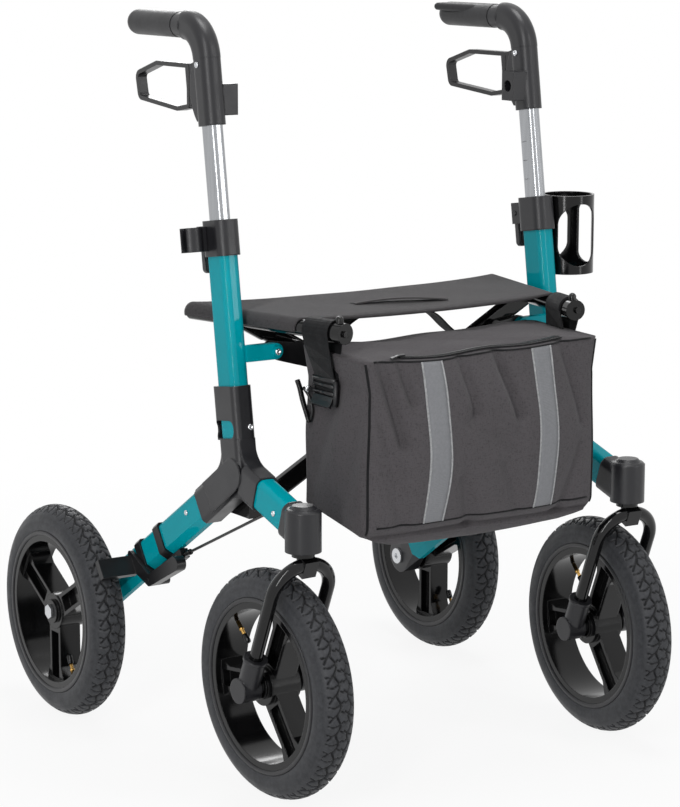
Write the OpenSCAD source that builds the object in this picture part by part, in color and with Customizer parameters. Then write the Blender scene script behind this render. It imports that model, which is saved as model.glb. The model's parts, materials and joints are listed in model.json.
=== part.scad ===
// Folding all terrain rollator: four air tyres, sling seat, front bag and height-adjustable handles.
// Millimetres, +Z up, front toward -Y, the user's left at +X. The origin is on the floor below the middle.
// Side pieces are drawn for the left side and mirrored for the right side.

/* [Wheels] */
// Outer diameter of the tyres
wheel_d = 284; // [276:1:292]
// Width of the tyres
tyre_w = 50; // [46:1:52]
// Wall of the tyres
tyre_wall = 4.5; // [4:0.5:6]
// Radius of the bead seat on the rims
bead_r = 103; // [100:0.5:104]
// Distance between the front and the rear axles
wheelbase = 448; // [440:1:460]
// Distance from the middle to each rear wheel
rear_half_track = 303.5; // [301:0.5:312]
// Number of spokes
spokes = 3; // [3:1:5]

/* [Casters] */
// Distance of each caster axis outside its handle column
caster_out = 5; // [2:0.5:8]
// Distance of the front axle behind the caster axis
caster_trail = 58; // [52:1:62]
// Angle at which each caster stands turned in
caster_toe = 3.2; // [0:0.2:5]
// Diameter of the fork tube
fork_tube_d = 16.5; // [15:0.5:18]
// Distance from the middle of the wheel to each fork leg
fork_half = 41; // [40:0.5:44]
// Height of the caster head above the floor
head_z = 318; // [316:1:324]
// Length of the caster head
head_h = 52; // [46:1:58]
// Radius of the caster head
head_r = 22; // [20:0.5:24]

/* [Side frames] */
// Distance from each rear wheel in to its handle column
column_inset = 61.5; // [60:0.5:64]
// Rearward lean of the columns in degrees
column_lean = 8.2; // [7:0.2:9]
// Place along Y of the column at the top of its joint
column_y = -116; // [-120:1:-112]
// Height of the top of the joint
column_z = 492; // [486:1:498]
// Width of the column tube
tube_w = 25; // [24:0.5:26]
// Depth of the column tube
tube_d = 42; // [40:0.5:44]
// Wall of the frame tubes
tube_wall = 2; // [1.5:0.25:2.5]
// Width of both legs
leg_w = 26; // [25:0.5:27]
// Depth of the rear leg
leg_d = 42; // [40:0.5:46]
// Depth of the front leg
front_leg_d = 41; // [37:0.5:43]
// Chamfer along the lower edges of the rear legs
leg_chamfer = 9; // [6:0.5:10]
// Chamfer along the upper edges of the rear legs
leg_edge = 3.5; // [2:0.5:5]
// Corner radius of the front legs
front_leg_r = 8; // [6:0.5:10]
// Thickness of the black joint
joint_w = 30; // [29:0.5:33]

/* [Handles] */
// Height of the middle of the grips
grip_z = 926; // [915:1:935]
// Length of the grips
grip_len = 118; // [110:1:125]
// Radius of the grips
grip_r = 16; // [15:0.5:17]
// Width of the telescopic tube
mast_w = 19; // [18:0.5:20]
// Depth of the telescopic tube
mast_d = 28; // [26:0.5:30]
// Width of the brake lever band
lever_w = 13; // [11:0.5:14]
// Thickness of the brake lever band
lever_t = 5.5; // [4.5:0.25:6]
// Height of the clamp collar
collar_h = 44; // [40:1:48]

/* [Brakes] */
// Gap between the brake shoe and the tread
shoe_gap = 3; // [2.9:0.1:4]
// Width of the brake shoe
shoe_w = 40; // [34:1:44]

/* [Seat and fold] */
// Height of the middle of the seat tubes
seat_z = 569; // [565:1:573]
// Radius of the seat tubes
seat_tube_r = 10; // [9:0.5:10.5]
// Distance from each handle column in to its seat tube at the fold bars
seat_inset = 31; // [30.5:0.5:35]
// Angle by which the seat tubes spread toward the rear
seat_splay = 13; // [11:0.5:14]
// Length of the seat tubes in front of the fold bars
seat_front = 160; // [150:1:165]
// Length of the seat tubes behind the fold bars
seat_rear = 100; // [90:1:104]
// Distance from each handle column in to its lower pivot
pivot_inset = 36; // [35:0.5:38]
// Height of the lower pivots
pivot_z = 335; // [332:1:338]
// Sag of the sling
seat_sag = 5; // [2:0.5:10]
// Width of the fold bars
bar_w = 24; // [22:0.5:26]
// Thickness of the fold bars
bar_t = 14; // [12:0.5:15]

/* [Bag] */
// Distance from the seat tubes in to the sides of the bag at its straps
bag_inset = 14.7; // [13:0.1:25]
// Depth of the bag without its crown
bag_d = 140; // [125:1:145]
// Height of the bag
bag_h = 224; // [205:1:230]
// Swell of the front of the bag
bag_crown = 24; // [10:1:30]

/* [Cup holder and stick clip] */
// Radius of the cup that fits
cup_r = 31.5; // [29:0.5:32]
// Height of the cup holder
cup_h = 104; // [90:1:110]
// Radius of the stick that fits the clip
stick_r = 10; // [9:0.5:11]

/* [Hidden] */
$fn = 64;
fit = 0.1;
run_gap = 0.05;
play = 0.4;
teal = "#0a939c";
satin = "#3b3b3e";
gloss = "#141416";
rubber = "#2d2e30";
steel = "#c9cbce";
cloth = "#4d4a4c";

// Wheels
wheel_r = wheel_d / 2;
rear_y = wheelbase / 2;
front_y = -wheelbase / 2;
flange_h = 5.5;
flange_r = bead_r + flange_h;
flange_t = 3;
rim_half = 20.5;
barrel_t = 8;
barrel_r = bead_r - barrel_t;
rear_axle_r = 6;
front_axle_r = 5;
hub_r = 24;
hub_face_r = 16;
hub_step = 4;
front_hub_half = 25;
rear_hub_in = 34;
rear_hub_out = 20.5;
groove_w = 2.5;
groove_t = 3.1;
groove_at = 7;
spoke_w = 30;
spoke_half = 15;
spoke_wall = 5;
spoke_pocket = 11;
spoke_flare = 9;
flare_h = 22;
rear_turn = 180;
front_turn = -97;
washer_r = 11;
washer_t = 4;
drive_r = 4;
nut_r = 10;
spacer_r = 9;

// Casters
column_x = rear_half_track - column_inset;
caster_half_track = column_x + caster_out;
caster_y = front_y - caster_trail;
crown_lead = 8;
crown_drop = 14;
crown_z = head_z - crown_drop;
crown_block = [20, 18, 22];
crown_r = 14;
crown_lift = 8;
fork_tilt = atan((caster_trail + crown_lead) / (crown_z - wheel_r));
fork_len = norm([caster_trail + crown_lead, crown_z - wheel_r]);
fork_r = fork_tube_d / 2;
stem_r = 8;
stem_gap = 10;
socket_wall = 5.5;
socket_r = fork_r + socket_wall;
socket_len = 46;
socket_foot = 18;
socket_lip = [1.5, 4];
socket_boss_r = 15.5;
socket_half = 11;
socket_cap = 4;
head_bevel = 3;
head_dome = [5, 9, 4];
neck_wall = 3;
neck_in = 11;
neck_len = 36;

// Columns
column_dir = [0, sin(column_lean), cos(column_lean)];
column_foot = [column_x, column_y, column_z];
tube_round = 9;
tube_in = 105;
mast_round = 7;
mast_wall = 2;
mast_in = 40;
mast_bottom = 15;
plug_len = 22;

// Handle castings: an elbow from the column to the level grip
elbow_r = 45;
body_w = 28;
body_d = 36;
body_r = 12;
elbow_start = (grip_z - elbow_r + elbow_r * sin(column_lean) - column_z) / cos(column_lean);
elbow_y = column_y + elbow_start * sin(column_lean) + elbow_r * cos(column_lean);
elbow_z = grip_z - elbow_r;
seam_len = 18;
seam_y = elbow_y + seam_len;
body_len = 81.5;
elbow_lap = 3;
elbow_step = 0.3;
handle_at = elbow_start - body_len;
core_r = 11;
core_over = 2;
core_gap = 0.5;
lever_from = [0, -44, -46];
lever_pivot = [column_x, elbow_y, grip_z] + lever_from;
lever_pin_r = 3;
lever_slot = [68, 60, 86];
housing = [18, 8, 72];
housing_r = 60;
housing_out = 14;
housing_at = 6;
block_w = 21;
block_d = 25;
block_h = 38;
block_in = 3;
block_drop = 88;
socket_hole_r = 7.5;
socket_hole_t = 17;
block_at = column_foot + column_dir * (grip_z - block_drop - column_z) / cos(column_lean);

// Brake lever: place behind the seam, height over the grip and radius of each corner of the loop
loop_corners = [[-24, -52, 3], [50, -53, 4], [93, -70, 8], [89, -87, 8], [0, -98, 5], [-24, -96, 3]];
lever_root = [[-24, -53, 4], [-30, -95, 4]];
lever_hub_r = 8;
lever_room = 6;

// Palm wing of the grip: corners from the seam and their radii
wing = [[-6, 34, 8, 6], [-22, 102, 10, 5], [0, 102, 9, 6], [-8, 109, 10, 5]];

// Height clamps stand halfway up to the handle castings
collar_at = handle_at / 2;
collar_wall = 3.5;
collar_lap = 12;
tube_top = collar_at + collar_lap;
clamp_from = [0, 13, 24];
clamp_pivot = [0, tube_d / 2, collar_at] + clamp_from;
clamp_pin_r = 3;
clamp_hub_r = 7;
clamp_lug = [20, 20, 28];
clamp_lug_at = 10;
clamp_slot = [12.8, 30, 60];
clamp_slot_back = 9;
clamp_tab = [12, 7, 38];
clamp_groove = [5, 3.5, 22];

// Rear legs run from the joint to the rear axle
leg_top_from = [0, 63.2, -163];
leg_top = column_foot + leg_top_from;
leg_out = 12;
leg_foot = [column_x + leg_out, rear_y, wheel_r];
leg_len = norm(leg_foot - leg_top);
leg_in = 45;
dropout_r = 24;
dropout_len = 36;
dropout_plug = 24;
dropout_side = 1.5;
leg_slope = atan2(leg_top.z - leg_foot.z, leg_foot.y - leg_top.y);

// Front legs run from the joint to the caster head
front_leg_slope = 17.5;
front_leg_from = [0, -72, -123];
front_leg_at = column_foot + front_leg_from;
front_leg_dir = [0, -cos(front_leg_slope), -sin(front_leg_slope)];
front_leg_in = 36;
front_leg_gap = 2;
front_leg_out = (front_leg_at.y - caster_y - head_r) / cos(front_leg_slope) - front_leg_gap;

// Black joint between the column and the legs
joint_hub_from = [-20, -106];
joint_hub = [column_y, column_z] + joint_hub_from;
joint_hub_r = 27;
joint_wall = 2;
joint_fillet = 32;
joint_round = 8;
joint_edge = 4;
joint_foot = 6;
joint_lap = 30;
boss_r = leg_d / 2 - 1;
boss_rise = 1.5;
joint_skew = (leg_in + joint_lap) * leg_out / leg_len + 2 * fit;

// Cover on the foot of the column: width, front wall, rear wall and length, with a side window
cover = [29, 1.5, 8];
cover_len = 66;
window = [44, 22, 9];
window_at = [6, -53];

// Brakes are placed by their distance up the leg from the axle and their height over the leg
brake_pivot = [180, -36];
yoke_at = 168;
yoke_w = 14;
band_at = 222;
band_w = 14;
band_t = 2.5;
adjuster = [243, -30];
adjuster_block = [12, 10, 12];
rail = [12, 4];
brake_boss = [7.5, 7];
brake_pin_r = 3;
brake_pin_out = 7.5;
arm_t = 5;
arm_gap = 1;
arm_corners = [[10, -4, 8], [8, 12, 5]];
flap_from = [74, -7];
flap_r = 9.5;
flap_in = 8;
shoe_t = 9;
shoe_h = 26;
shoe_low = 16;

// Brake cables run from the front legs to the adjusters
cable_r = 1.9;
cable_lead = 13;
ferrule = [3.8, 14];
screw_r = 2.2;
screw_len = 14;
cable_start = front_leg_at + front_leg_dir * cable_lead
    + [0, sin(front_leg_slope), -cos(front_leg_slope)] * (front_leg_d / 2 - 1.5);
cable_end = along_leg(adjuster);
cable_dir = unit(cable_start - cable_end);
cable_len = norm(cable_start - cable_end);

// Fold bars cross at the middle
seat_half = column_x - seat_inset;
pivot_half = column_x - pivot_inset;
bar_behind = 16;
bar_mid_y = column_y + bar_behind;
bar_gap = 3;
bar_round = 4;
bar_wall = 2;
bar_head = [34, 3];
bar_front_y = bar_mid_y - (bar_t + bar_gap) / 2;
bar_rear_y = bar_mid_y + (bar_t + bar_gap) / 2;
bar_slope = atan((seat_z - pivot_z) / (pivot_half + seat_half));
cross_z = pivot_z + pivot_half * tan(bar_slope);
bar_len = norm([pivot_half + seat_half, seat_z - pivot_z]);
bar_half = norm([pivot_half, cross_z - pivot_z]);
fold_pin_r = 5;
eye_r = 13;
lug_t = 5;
lug_r = 12;
lug_h = 38;
lug_gap = 1.5;
lug_half = bar_t + bar_gap / 2 + lug_gap;
pin_end = 1;
bush_wall = 4;
pin_head = 3;

// Seat tubes and the links that rest on the bracket pins
seat_dir = [sin(seat_splay), cos(seat_splay), 0];
seat_mid = [seat_half, bar_mid_y, seat_z];
seat_start = seat_mid - seat_dir * seat_front;
seat_end = seat_mid + seat_dir * seat_rear;
seat_tube_wall = 1.5;
seat_tube_end = 6;
sleeve_len = 26;
sleeve_wall = 3;
sleeve_r = seat_tube_r + sleeve_wall;
sleeve_end = 6;
hook = [5, 4, 3];
stud = [4, 10];
bracket_from = [-51, -8.5, -36.5];
bracket_pin = [column_x, column_y, seat_z] + bracket_from;
bracket_t = 10;
bracket_h = 20;
bracket_in = 4;
bracket_pin_r = 4;
bracket_head = [7, 4];
link_t = 7;
link_y = bracket_pin.y + play;
link_eye_r = 11;
link_end_r = 10;
link_drop = [4, 6];
link_bolt_r = 7;
link_bolt_low = 2;
link_bolts = [-65, -39];
saddle = [3, 15, 30];

// Sling
sling_t = 2;
sling_pad = 5;
sling_gap = 0.4;
sling_reach = [92, 96];
sling_front = bar_mid_y - sling_reach.x;
sling_rear = bar_mid_y + sling_reach.y;

// Lift strap below the sling
lift_w = 26;
lift_t = 2;
lift_end = 87;
lift_bend = 44;
lift_gap = 1;

// Bag
bag_lead = 66;
bag_under = 27;
bag_back_y = bar_mid_y - bag_lead;
bag_bottom_z = seat_z - bag_under - bag_h;
bag_rise = 9;
bag_round = 16;
bag_wall = 3;
zip_gap = 5;
zip_end = 40;
strap_lead = 114;
strap_y = bar_mid_y - strap_lead;
strap_w = 30;
strap_t = 2.5;
strap_gap = 0.4;
strap_edge = 4;
strap_hang = [8, 74];
buckle_h = 26;
buckle_low = 96;
buckle_t = 3;
buckle_slot = [7, 10];
bag_w = 2 * (seat_x(strap_y) - bag_inset);

// Cup holder and stick clip
cup_band = 11;
cup_wall = 3;
cup_floor = 11;
cup_rib = 10;
cup_lap = 1.5;
cup_behind = 23;
cup_drop = 71;
cup_windows = [[-98, 54], [1, 29], [103, 53]];
cup_at = [
    column_x + tube_w / 2 + collar_wall + fit + cup_wall + cup_r,
    column_y + cup_behind,
    column_z + tube_top * cos(column_lean) - cup_drop
];
clip_wall = 3.5;
clip_h = 30;
clip_arm = 5;
clip_back = 13;
clip_mouth = 1.5 * stick_r;

// Helpers
function unit(v) = v / norm(v);
function along_leg(p) = leg_foot + unit(leg_top - leg_foot) * p.x + [0, sin(leg_slope), cos(leg_slope)] * p.y;
function seat_x(y) = seat_half + (y - bar_mid_y) * tan(seat_splay);

// Sets the Z axis from a toward b and keeps the X axis level with the floor
module along(a, b) {
    ez = unit(b - a);
    ex = unit([1, 0, 0] - ez * ez.x);
    ey = cross(ez, ex);
    multmatrix([
        [ex.x, ey.x, ez.x, a.x],
        [ex.y, ey.y, ez.y, a.y],
        [ex.z, ey.z, ez.z, a.z]
    ]) children();
}

// Frame of the column: Z along the tube, Y toward the rear
module column() translate(column_foot) rotate([-column_lean, 0, 0]) children();

// Frame of a caster about its swivel axis
module caster() translate([caster_half_track, caster_y, 0]) rotate([0, 0, -caster_toe]) children();

// Frame of the fork plane: -Z runs from the crown to the axle
module fork_plane() caster() translate([0, -crown_lead, crown_z]) rotate([fork_tilt, 0, 0]) children();

module front_wheel() caster() translate([0, caster_trail, wheel_r]) children();
module rear_wheel() translate([rear_half_track, rear_y, wheel_r]) children();
module right() mirror([1, 0, 0]) children();

module cyl_x(r, x0, x1) translate([x0, 0, 0]) rotate([0, 90, 0]) cylinder(r = r, h = x1 - x0);
module cyl_y(r, y0, y1) translate([0, y0, 0]) rotate([-90, 0, 0]) cylinder(r = r, h = y1 - y0);

// Extrudes a drawing of the Y-Z plane along X
module side_plate(x, t) translate([x, 0, 0]) rotate([90, 0, 90]) linear_extrude(t, center = true) children();

// Extrudes a drawing of the X-Z plane along Y
module front_plate(y0, y1) translate([0, y1, 0]) rotate([90, 0, 0]) linear_extrude(y1 - y0) children();

module rounded(w, d, r) {
    square([w - 2 * r, d], center = true);
    square([w, d - 2 * r], center = true);
    for (x = [-1, 1], y = [-1, 1]) translate([x * (w / 2 - r), y * (d / 2 - r)]) circle(r);
}

// A box section with one chamfer c on its +Y corners and another e on its -Y corners
module chamfered(w, d, c, e) {
    x = w / 2;
    y = d / 2;
    polygon([
        [x, y - c], [x - c, y], [c - x, y], [-x, y - c],
        [-x, e - y], [e - x, -y], [x - e, -y], [x, e - y]
    ]);
}

module leg_section(grow = 0) chamfered(leg_w + 2 * grow, leg_d + 2 * grow, leg_chamfer, leg_edge);
module front_leg_section(grow = 0) rounded(leg_w + 2 * grow, front_leg_d + 2 * grow, front_leg_r + grow);
module tube_section(grow = 0) rounded(tube_w + 2 * grow, tube_d + 2 * grow, tube_round + grow);
module mast_section(grow = 0) rounded(mast_w + 2 * grow, mast_d + 2 * grow, mast_round + grow);

// A tab that hangs down from the origin with a round lower end
module tab(w, h) {
    translate([-w / 2, -h]) square([w, h]);
    translate([0, -h]) circle(w / 2);
}

// Wheels
module tyre() {
    color(rubber) rotate([0, 90, 0]) rotate_extrude($fn = 96) difference() {
        translate([wheel_r - tyre_w / 2, 0]) circle(tyre_w / 2);
        translate([wheel_r - tyre_w / 2, 0]) circle(tyre_w / 2 - tyre_wall);
        translate([0, -tyre_w]) square([bead_r + run_gap, 2 * tyre_w]);
        for (s = [-1, 1]) {
            translate([0, s * (rim_half + tyre_w / 2 - run_gap) - tyre_w / 2])
                square([flange_r + run_gap, tyre_w]);
            translate([wheel_r - groove_t, s * groove_at - groove_w / 2]) square([tyre_w, groove_w]);
        }
    }
}

// A channel with a web in its middle, wider where it meets the barrel
module spoke(len) {
    foot = spoke_w / 2;
    toe = foot + spoke_flare;
    difference() {
        side_plate(0, 2 * spoke_half)
            polygon([[-foot, 0], [foot, 0], [foot, len - flare_h], [toe, len], [-toe, len], [-foot, len - flare_h]]);
        for (s = [-1, 1])
            translate([s * spoke_half - spoke_pocket, spoke_wall - foot, hub_r + spoke_wall])
                cube([2 * spoke_pocket, spoke_w - 2 * spoke_wall, len - hub_r - 2 * spoke_wall]);
    }
}

module rim(axle_r, hub_in, hub_out, turn) {
    color(gloss) difference() {
        union() {
            rotate([0, 90, 0]) rotate_extrude($fn = 96) {
                translate([barrel_r, -rim_half - flange_t])
                    square([bead_r - barrel_r, 2 * (rim_half + flange_t)]);
                for (s = [-1, 1])
                    translate([barrel_r, s * (rim_half + flange_t / 2) - flange_t / 2])
                        square([flange_r - barrel_r, flange_t]);
            }
            for (i = [0:spokes - 1]) rotate([turn + i * 360 / spokes, 0, 0]) spoke(barrel_r + barrel_t / 4);
            cyl_x(hub_r, hub_step - hub_in, hub_out - hub_step);
            cyl_x(hub_face_r, -hub_in, hub_out);
        }
        cyl_x(axle_r + run_gap, -hub_in - 1, hub_out + 1);
    }
}

module front_tyre() front_wheel() tyre();
module rear_tyre() rear_wheel() tyre();
module front_rim() front_wheel() rim(front_axle_r, front_hub_half, front_hub_half, front_turn);
module rear_rim() rear_wheel() rim(rear_axle_r, rear_hub_in, rear_hub_out, rear_turn);

module rear_axle() {
    inner = leg_foot.x - leg_w / 2 - rear_half_track;
    outer = leg_foot.x + leg_w / 2 - rear_half_track;
    color(steel) rear_wheel() {
        cyl_x(rear_axle_r, inner - 1, rear_hub_out + washer_t / 2);
        difference() {
            cyl_x(washer_r, inner - washer_t, inner - fit);
            cyl_x(drive_r, inner - 2 * washer_t, inner - washer_t / 2);
        }
        cyl_x(spacer_r, outer + fit, -rear_hub_in - play);
        cyl_x(nut_r, rear_hub_out + play, rear_hub_out + washer_t + play, $fn = 6);
    }
}

// The ends of the front axle sit in blind holes of the fork sockets
module front_axle() {
    end = fork_half + socket_half - 1;
    color(steel) front_wheel() {
        cyl_x(front_axle_r, -end, end);
        for (s = [0, 180]) rotate([0, 0, s])
            cyl_x(spacer_r, front_hub_half + play, fork_half - socket_half - fit);
    }
}

// Casters
module fork() {
    leg = fork_len - socket_foot - fork_half;
    color(gloss) {
        caster() {
            translate([0, 0, crown_z]) cylinder(r = stem_r, h = head_z + head_h - stem_gap - crown_z);
            translate([0, 0, crown_z + crown_lift]) cylinder(r = crown_r, h = head_z - play - crown_z - crown_lift);
        }
        fork_plane() {
            translate([0, 0, -fork_half]) rotate([90, 0, 0])
                rotate_extrude(angle = 180) translate([fork_half, 0]) circle(fork_r);
            for (s = [-1, 1]) translate([s * fork_half, 0, socket_foot - fork_len]) cylinder(r = fork_r, h = leg);
            translate([-crown_block.x / 2, -crown_block.y / 2, -crown_drop]) cube(crown_block);
        }
    }
}

module fork_sockets() {
    color(satin) fork_plane() for (s = [0, 1]) mirror([s, 0, 0]) translate([fork_half, 0, -fork_len]) difference() {
        union() {
            cylinder(r = socket_r, h = socket_len);
            translate([0, 0, socket_len - socket_lip.y]) cylinder(r = socket_r + socket_lip.x, h = socket_lip.y);
            cyl_x(socket_boss_r, -socket_half, socket_half + socket_cap);
        }
        translate([0, 0, socket_foot - fit]) cylinder(r = fork_r + fit, h = socket_len);
        cyl_x(front_axle_r + run_gap, -2 * socket_r, socket_half);
        translate([-socket_half - socket_r, 0, 0])
            cube([2 * socket_r, 4 * socket_r, 2.2 * socket_boss_r], center = true);
    }
}

module caster_head() {
    neck = front_leg_at + front_leg_dir * (front_leg_out - neck_in);
    axis = [caster_half_track, caster_y, head_z];
    color(satin) difference() {
        union() {
            translate(axis) {
                cylinder(r = head_r, h = head_h - head_bevel);
                translate([0, 0, head_h - head_bevel])
                    cylinder(r1 = head_r, r2 = head_r - head_bevel, h = head_bevel);
                translate([0, 0, head_h])
                    cylinder(r1 = head_r - head_dome.x, r2 = head_r - head_dome.y, h = head_dome.z);
            }
            along(neck, neck + front_leg_dir) linear_extrude(neck_len) front_leg_section(neck_wall);
        }
        along(front_leg_at, front_leg_at + front_leg_dir)
            linear_extrude(front_leg_out + fit) front_leg_section(fit);
        translate(axis - [0, 0, 1]) cylinder(r = stem_r + run_gap, h = head_h - stem_gap + 2);
        translate(axis - [0, 0, head_h]) cylinder(r = 2 * neck_len, h = head_h);
    }
}

// Side frame tubes
module upper_tube() {
    color(teal) {
        column() translate([0, 0, -tube_in]) linear_extrude(tube_in + tube_top) difference() {
            tube_section();
            tube_section(-tube_wall);
        }
        difference() {
            union() {
                translate([bracket_pin.x, bracket_pin.y - bracket_t, bracket_pin.z - bracket_h / 2])
                    cube([column_x - tube_w / 2 + bracket_in - bracket_pin.x, bracket_t, bracket_h]);
                translate([bracket_pin.x, 0, bracket_pin.z]) {
                    cyl_y(bracket_h / 2, bracket_pin.y - bracket_t, bracket_pin.y);
                    cyl_y(bracket_pin_r, bracket_pin.y - bracket_t, link_y + link_t + pin_end);
                    cyl_y(bracket_head.x, bracket_pin.y - bracket_t - bracket_head.y, bracket_pin.y - bracket_t);
                }
            }
            column() translate([0, 0, -tube_in])
                linear_extrude(tube_in + tube_top) tube_section(-tube_wall / 2);
        }
    }
}

module rear_leg() {
    color(teal) along(leg_top, leg_foot) translate([0, 0, -leg_in])
        linear_extrude(leg_in + leg_len - dropout_len) difference() {
            leg_section();
            leg_section(-tube_wall);
        }
}

module front_leg() {
    color(teal) along(front_leg_at, front_leg_at + front_leg_dir) translate([0, 0, -front_leg_in])
        linear_extrude(front_leg_in + front_leg_out) difference() {
            front_leg_section();
            front_leg_section(-tube_wall);
        }
}

module dropout() {
    color(satin) difference() {
        along(leg_top, leg_foot) {
            hull() {
                translate([0, 0, leg_len - dropout_len + fit]) linear_extrude(1) leg_section();
                translate([0, 0, leg_len]) cyl_x(dropout_r, dropout_side - leg_w / 2, leg_w / 2 - dropout_side);
            }
            translate([0, 0, leg_len - dropout_len - dropout_plug])
                linear_extrude(dropout_plug + 1) leg_section(-tube_wall - fit);
        }
        translate(leg_foot) cyl_x(rear_axle_r + run_gap, -leg_w, leg_w);
        for (s = [-1, 1]) translate(leg_foot + [s * leg_w, 0, 0])
            cube([leg_w, 4 * dropout_r, 4 * dropout_r], center = true);
    }
}

module joint_outline() {
    offset(r = -joint_fillet) offset(r = joint_fillet) {
        translate([column_y, column_z]) rotate(-column_lean)
            translate([-tube_d / 2 - joint_wall, -tube_in - joint_foot])
                square([tube_d + 2 * joint_wall, tube_in + joint_foot - cover_len]);
        translate([leg_top.y, leg_top.z]) rotate(180 - leg_slope)
            translate([0, -leg_d / 2 - joint_wall]) square([leg_in + joint_lap, leg_d + 2 * joint_wall]);
        translate([front_leg_at.y, front_leg_at.z]) rotate(front_leg_slope)
            translate([0, -front_leg_d / 2 - joint_wall])
                square([front_leg_in + joint_lap / 2, front_leg_d + 2 * joint_wall]);
        translate(joint_hub) circle(joint_hub_r);
    }
}

// Three arms with rounded edges grow out of a web with large fillets, below a cover round the column's foot
module y_joint() {
    color(satin) difference() {
        union() {
            side_plate(column_x, joint_w - 2 * joint_edge) joint_outline();
            column() {
                translate([0, 0, -tube_in - joint_foot]) linear_extrude(tube_in + joint_foot - cover_len + 1)
                    rounded(joint_w, tube_d + 2 * joint_wall, joint_round);
                translate([0, (cover.z - cover.y) / 2, -cover_len]) linear_extrude(cover_len)
                    rounded(cover.x, tube_d + cover.y + cover.z, joint_round);
            }
            along(leg_top, leg_foot) translate([0, 0, -leg_in - joint_lap])
                linear_extrude(leg_in + joint_lap) rounded(joint_w, leg_d + 2 * joint_wall, joint_round);
            along(front_leg_at, front_leg_at + front_leg_dir) translate([0, 0, -front_leg_in])
                linear_extrude(front_leg_in) rounded(joint_w, front_leg_d + 2 * joint_wall, joint_round);
            side_plate(column_x + joint_w / 2, 2 * boss_rise) {
                translate(joint_hub) circle(boss_r);
                translate([leg_top.y, leg_top.z]) rotate(180 - leg_slope) translate([joint_lap, -boss_r])
                    square([norm(joint_hub - [leg_top.y, leg_top.z]) - joint_lap, 2 * boss_r]);
            }
        }
        column() translate([0, 0, -tube_in - fit]) linear_extrude(2 * tube_in) tube_section(fit);
        along(leg_top, leg_foot) translate([0, 0, -leg_in - fit])
            linear_extrude(2 * leg_in) leg_section(fit);
        along(front_leg_at, front_leg_at + front_leg_dir) translate([0, 0, -front_leg_in - fit])
            linear_extrude(2 * front_leg_in) front_leg_section(fit);
        column() translate([0, window_at.x, window_at.y]) rotate([90, 0, 90])
            linear_extrude(joint_w) rounded(window.x, window.y, window.z);
    }
}

// Telescopic handles
module height_clamp() {
    color(satin) column() difference() {
        union() {
            translate([0, 0, collar_at]) linear_extrude(collar_h) tube_section(collar_wall);
            translate([clamp_pivot.x - clamp_lug.x / 2, tube_d / 2, collar_at + clamp_lug_at]) cube(clamp_lug);
        }
        translate([0, 0, collar_at - 1]) linear_extrude(collar_lap + 1 + fit) tube_section(fit);
        translate([0, 0, collar_at]) linear_extrude(collar_h + 1) mast_section(2 * fit);
        translate([clamp_pivot.x - clamp_slot.x / 2, clamp_pivot.y - clamp_slot_back, collar_at - 1])
            cube(clamp_slot);
        translate(clamp_pivot) cyl_x(clamp_pin_r + fit, -tube_w, tube_w);
    }
}

// A hanging tab with a groove on the side toward the column
module clamp_lever() {
    pin = clamp_lug.x / 2 + 1;
    hub = clamp_tab.x / 2;
    color(satin) column() translate(clamp_pivot) {
        cyl_x(clamp_pin_r, -pin, pin);
        cyl_x(clamp_hub_r, -hub, hub);
        difference() {
            front_plate(0, clamp_tab.y) tab(clamp_tab.x, clamp_tab.z);
            translate([0, 0, clamp_groove.z - clamp_tab.z])
                front_plate(-1, clamp_groove.y) tab(clamp_groove.x, clamp_groove.z);
        }
    }
}

module handle_tube() {
    color(steel) column() {
        translate([0, 0, mast_bottom]) linear_extrude(handle_at + mast_in - mast_bottom) difference() {
            mast_section();
            mast_section(-mast_wall);
        }
        translate([0, 0, mast_bottom - plug_len]) linear_extrude(plug_len - fit)
            tube_section(-tube_wall - 2 * fit);
    }
}

module handle_body() {
    slot_w = lever_w + 2 * play;
    color(satin) difference() {
        union() {
            column() translate([0, 0, handle_at]) linear_extrude(elbow_start - handle_at + elbow_lap)
                rounded(body_w, body_d, body_r);
            translate([column_x, elbow_y, elbow_z]) rotate([90, 0, 90])
                rotate([0, 0, 90]) rotate_extrude(angle = 90 - column_lean) translate([elbow_r, 0])
                    rounded(body_d + 2 * elbow_step, body_w + 2 * elbow_step, body_r + elbow_step);
            translate([column_x, elbow_y, grip_z]) cyl_y(grip_r - 0.5, -fit, seam_len);
            translate([column_x, seam_y, grip_z]) cyl_y(core_r, -elbow_lap / 3, grip_len - grip_r + core_over);
            column() translate([-housing.x / 2, body_d / 2, handle_at + housing_at + housing.z / 2])
                rotate([90, 0, 90]) linear_extrude(housing.x) polygon(concat(
                    [[-housing.y, housing.z / 2], [-housing.y, -housing.z / 2]],
                    [for (a = [-36:9:36]) [housing_out - housing_r * (1 - cos(a)), housing_r * sin(a)]]));
            translate(block_at + [block_in - body_w / 2 - block_w, -block_d / 2, -block_h / 2])
                cube([block_w, block_d, block_h]);
        }
        column() translate([0, 0, handle_at - 1]) linear_extrude(mast_in + 1 + fit) mast_section(fit);
        translate(lever_pivot) {
            cyl_x(lever_hub_r + lever_room, -slot_w / 2, slot_w / 2);
            cyl_x(lever_pin_r + run_gap, -body_w, body_w);
        }
        translate(lever_pivot - [slot_w / 2, 0, lever_slot.x]) cube([slot_w, lever_slot.y, lever_slot.z]);
        translate(block_at + [block_in - 1 - body_w / 2 - block_w, 0, 0])
            cyl_x(socket_hole_r, 0, socket_hole_t);
    }
}

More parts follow.
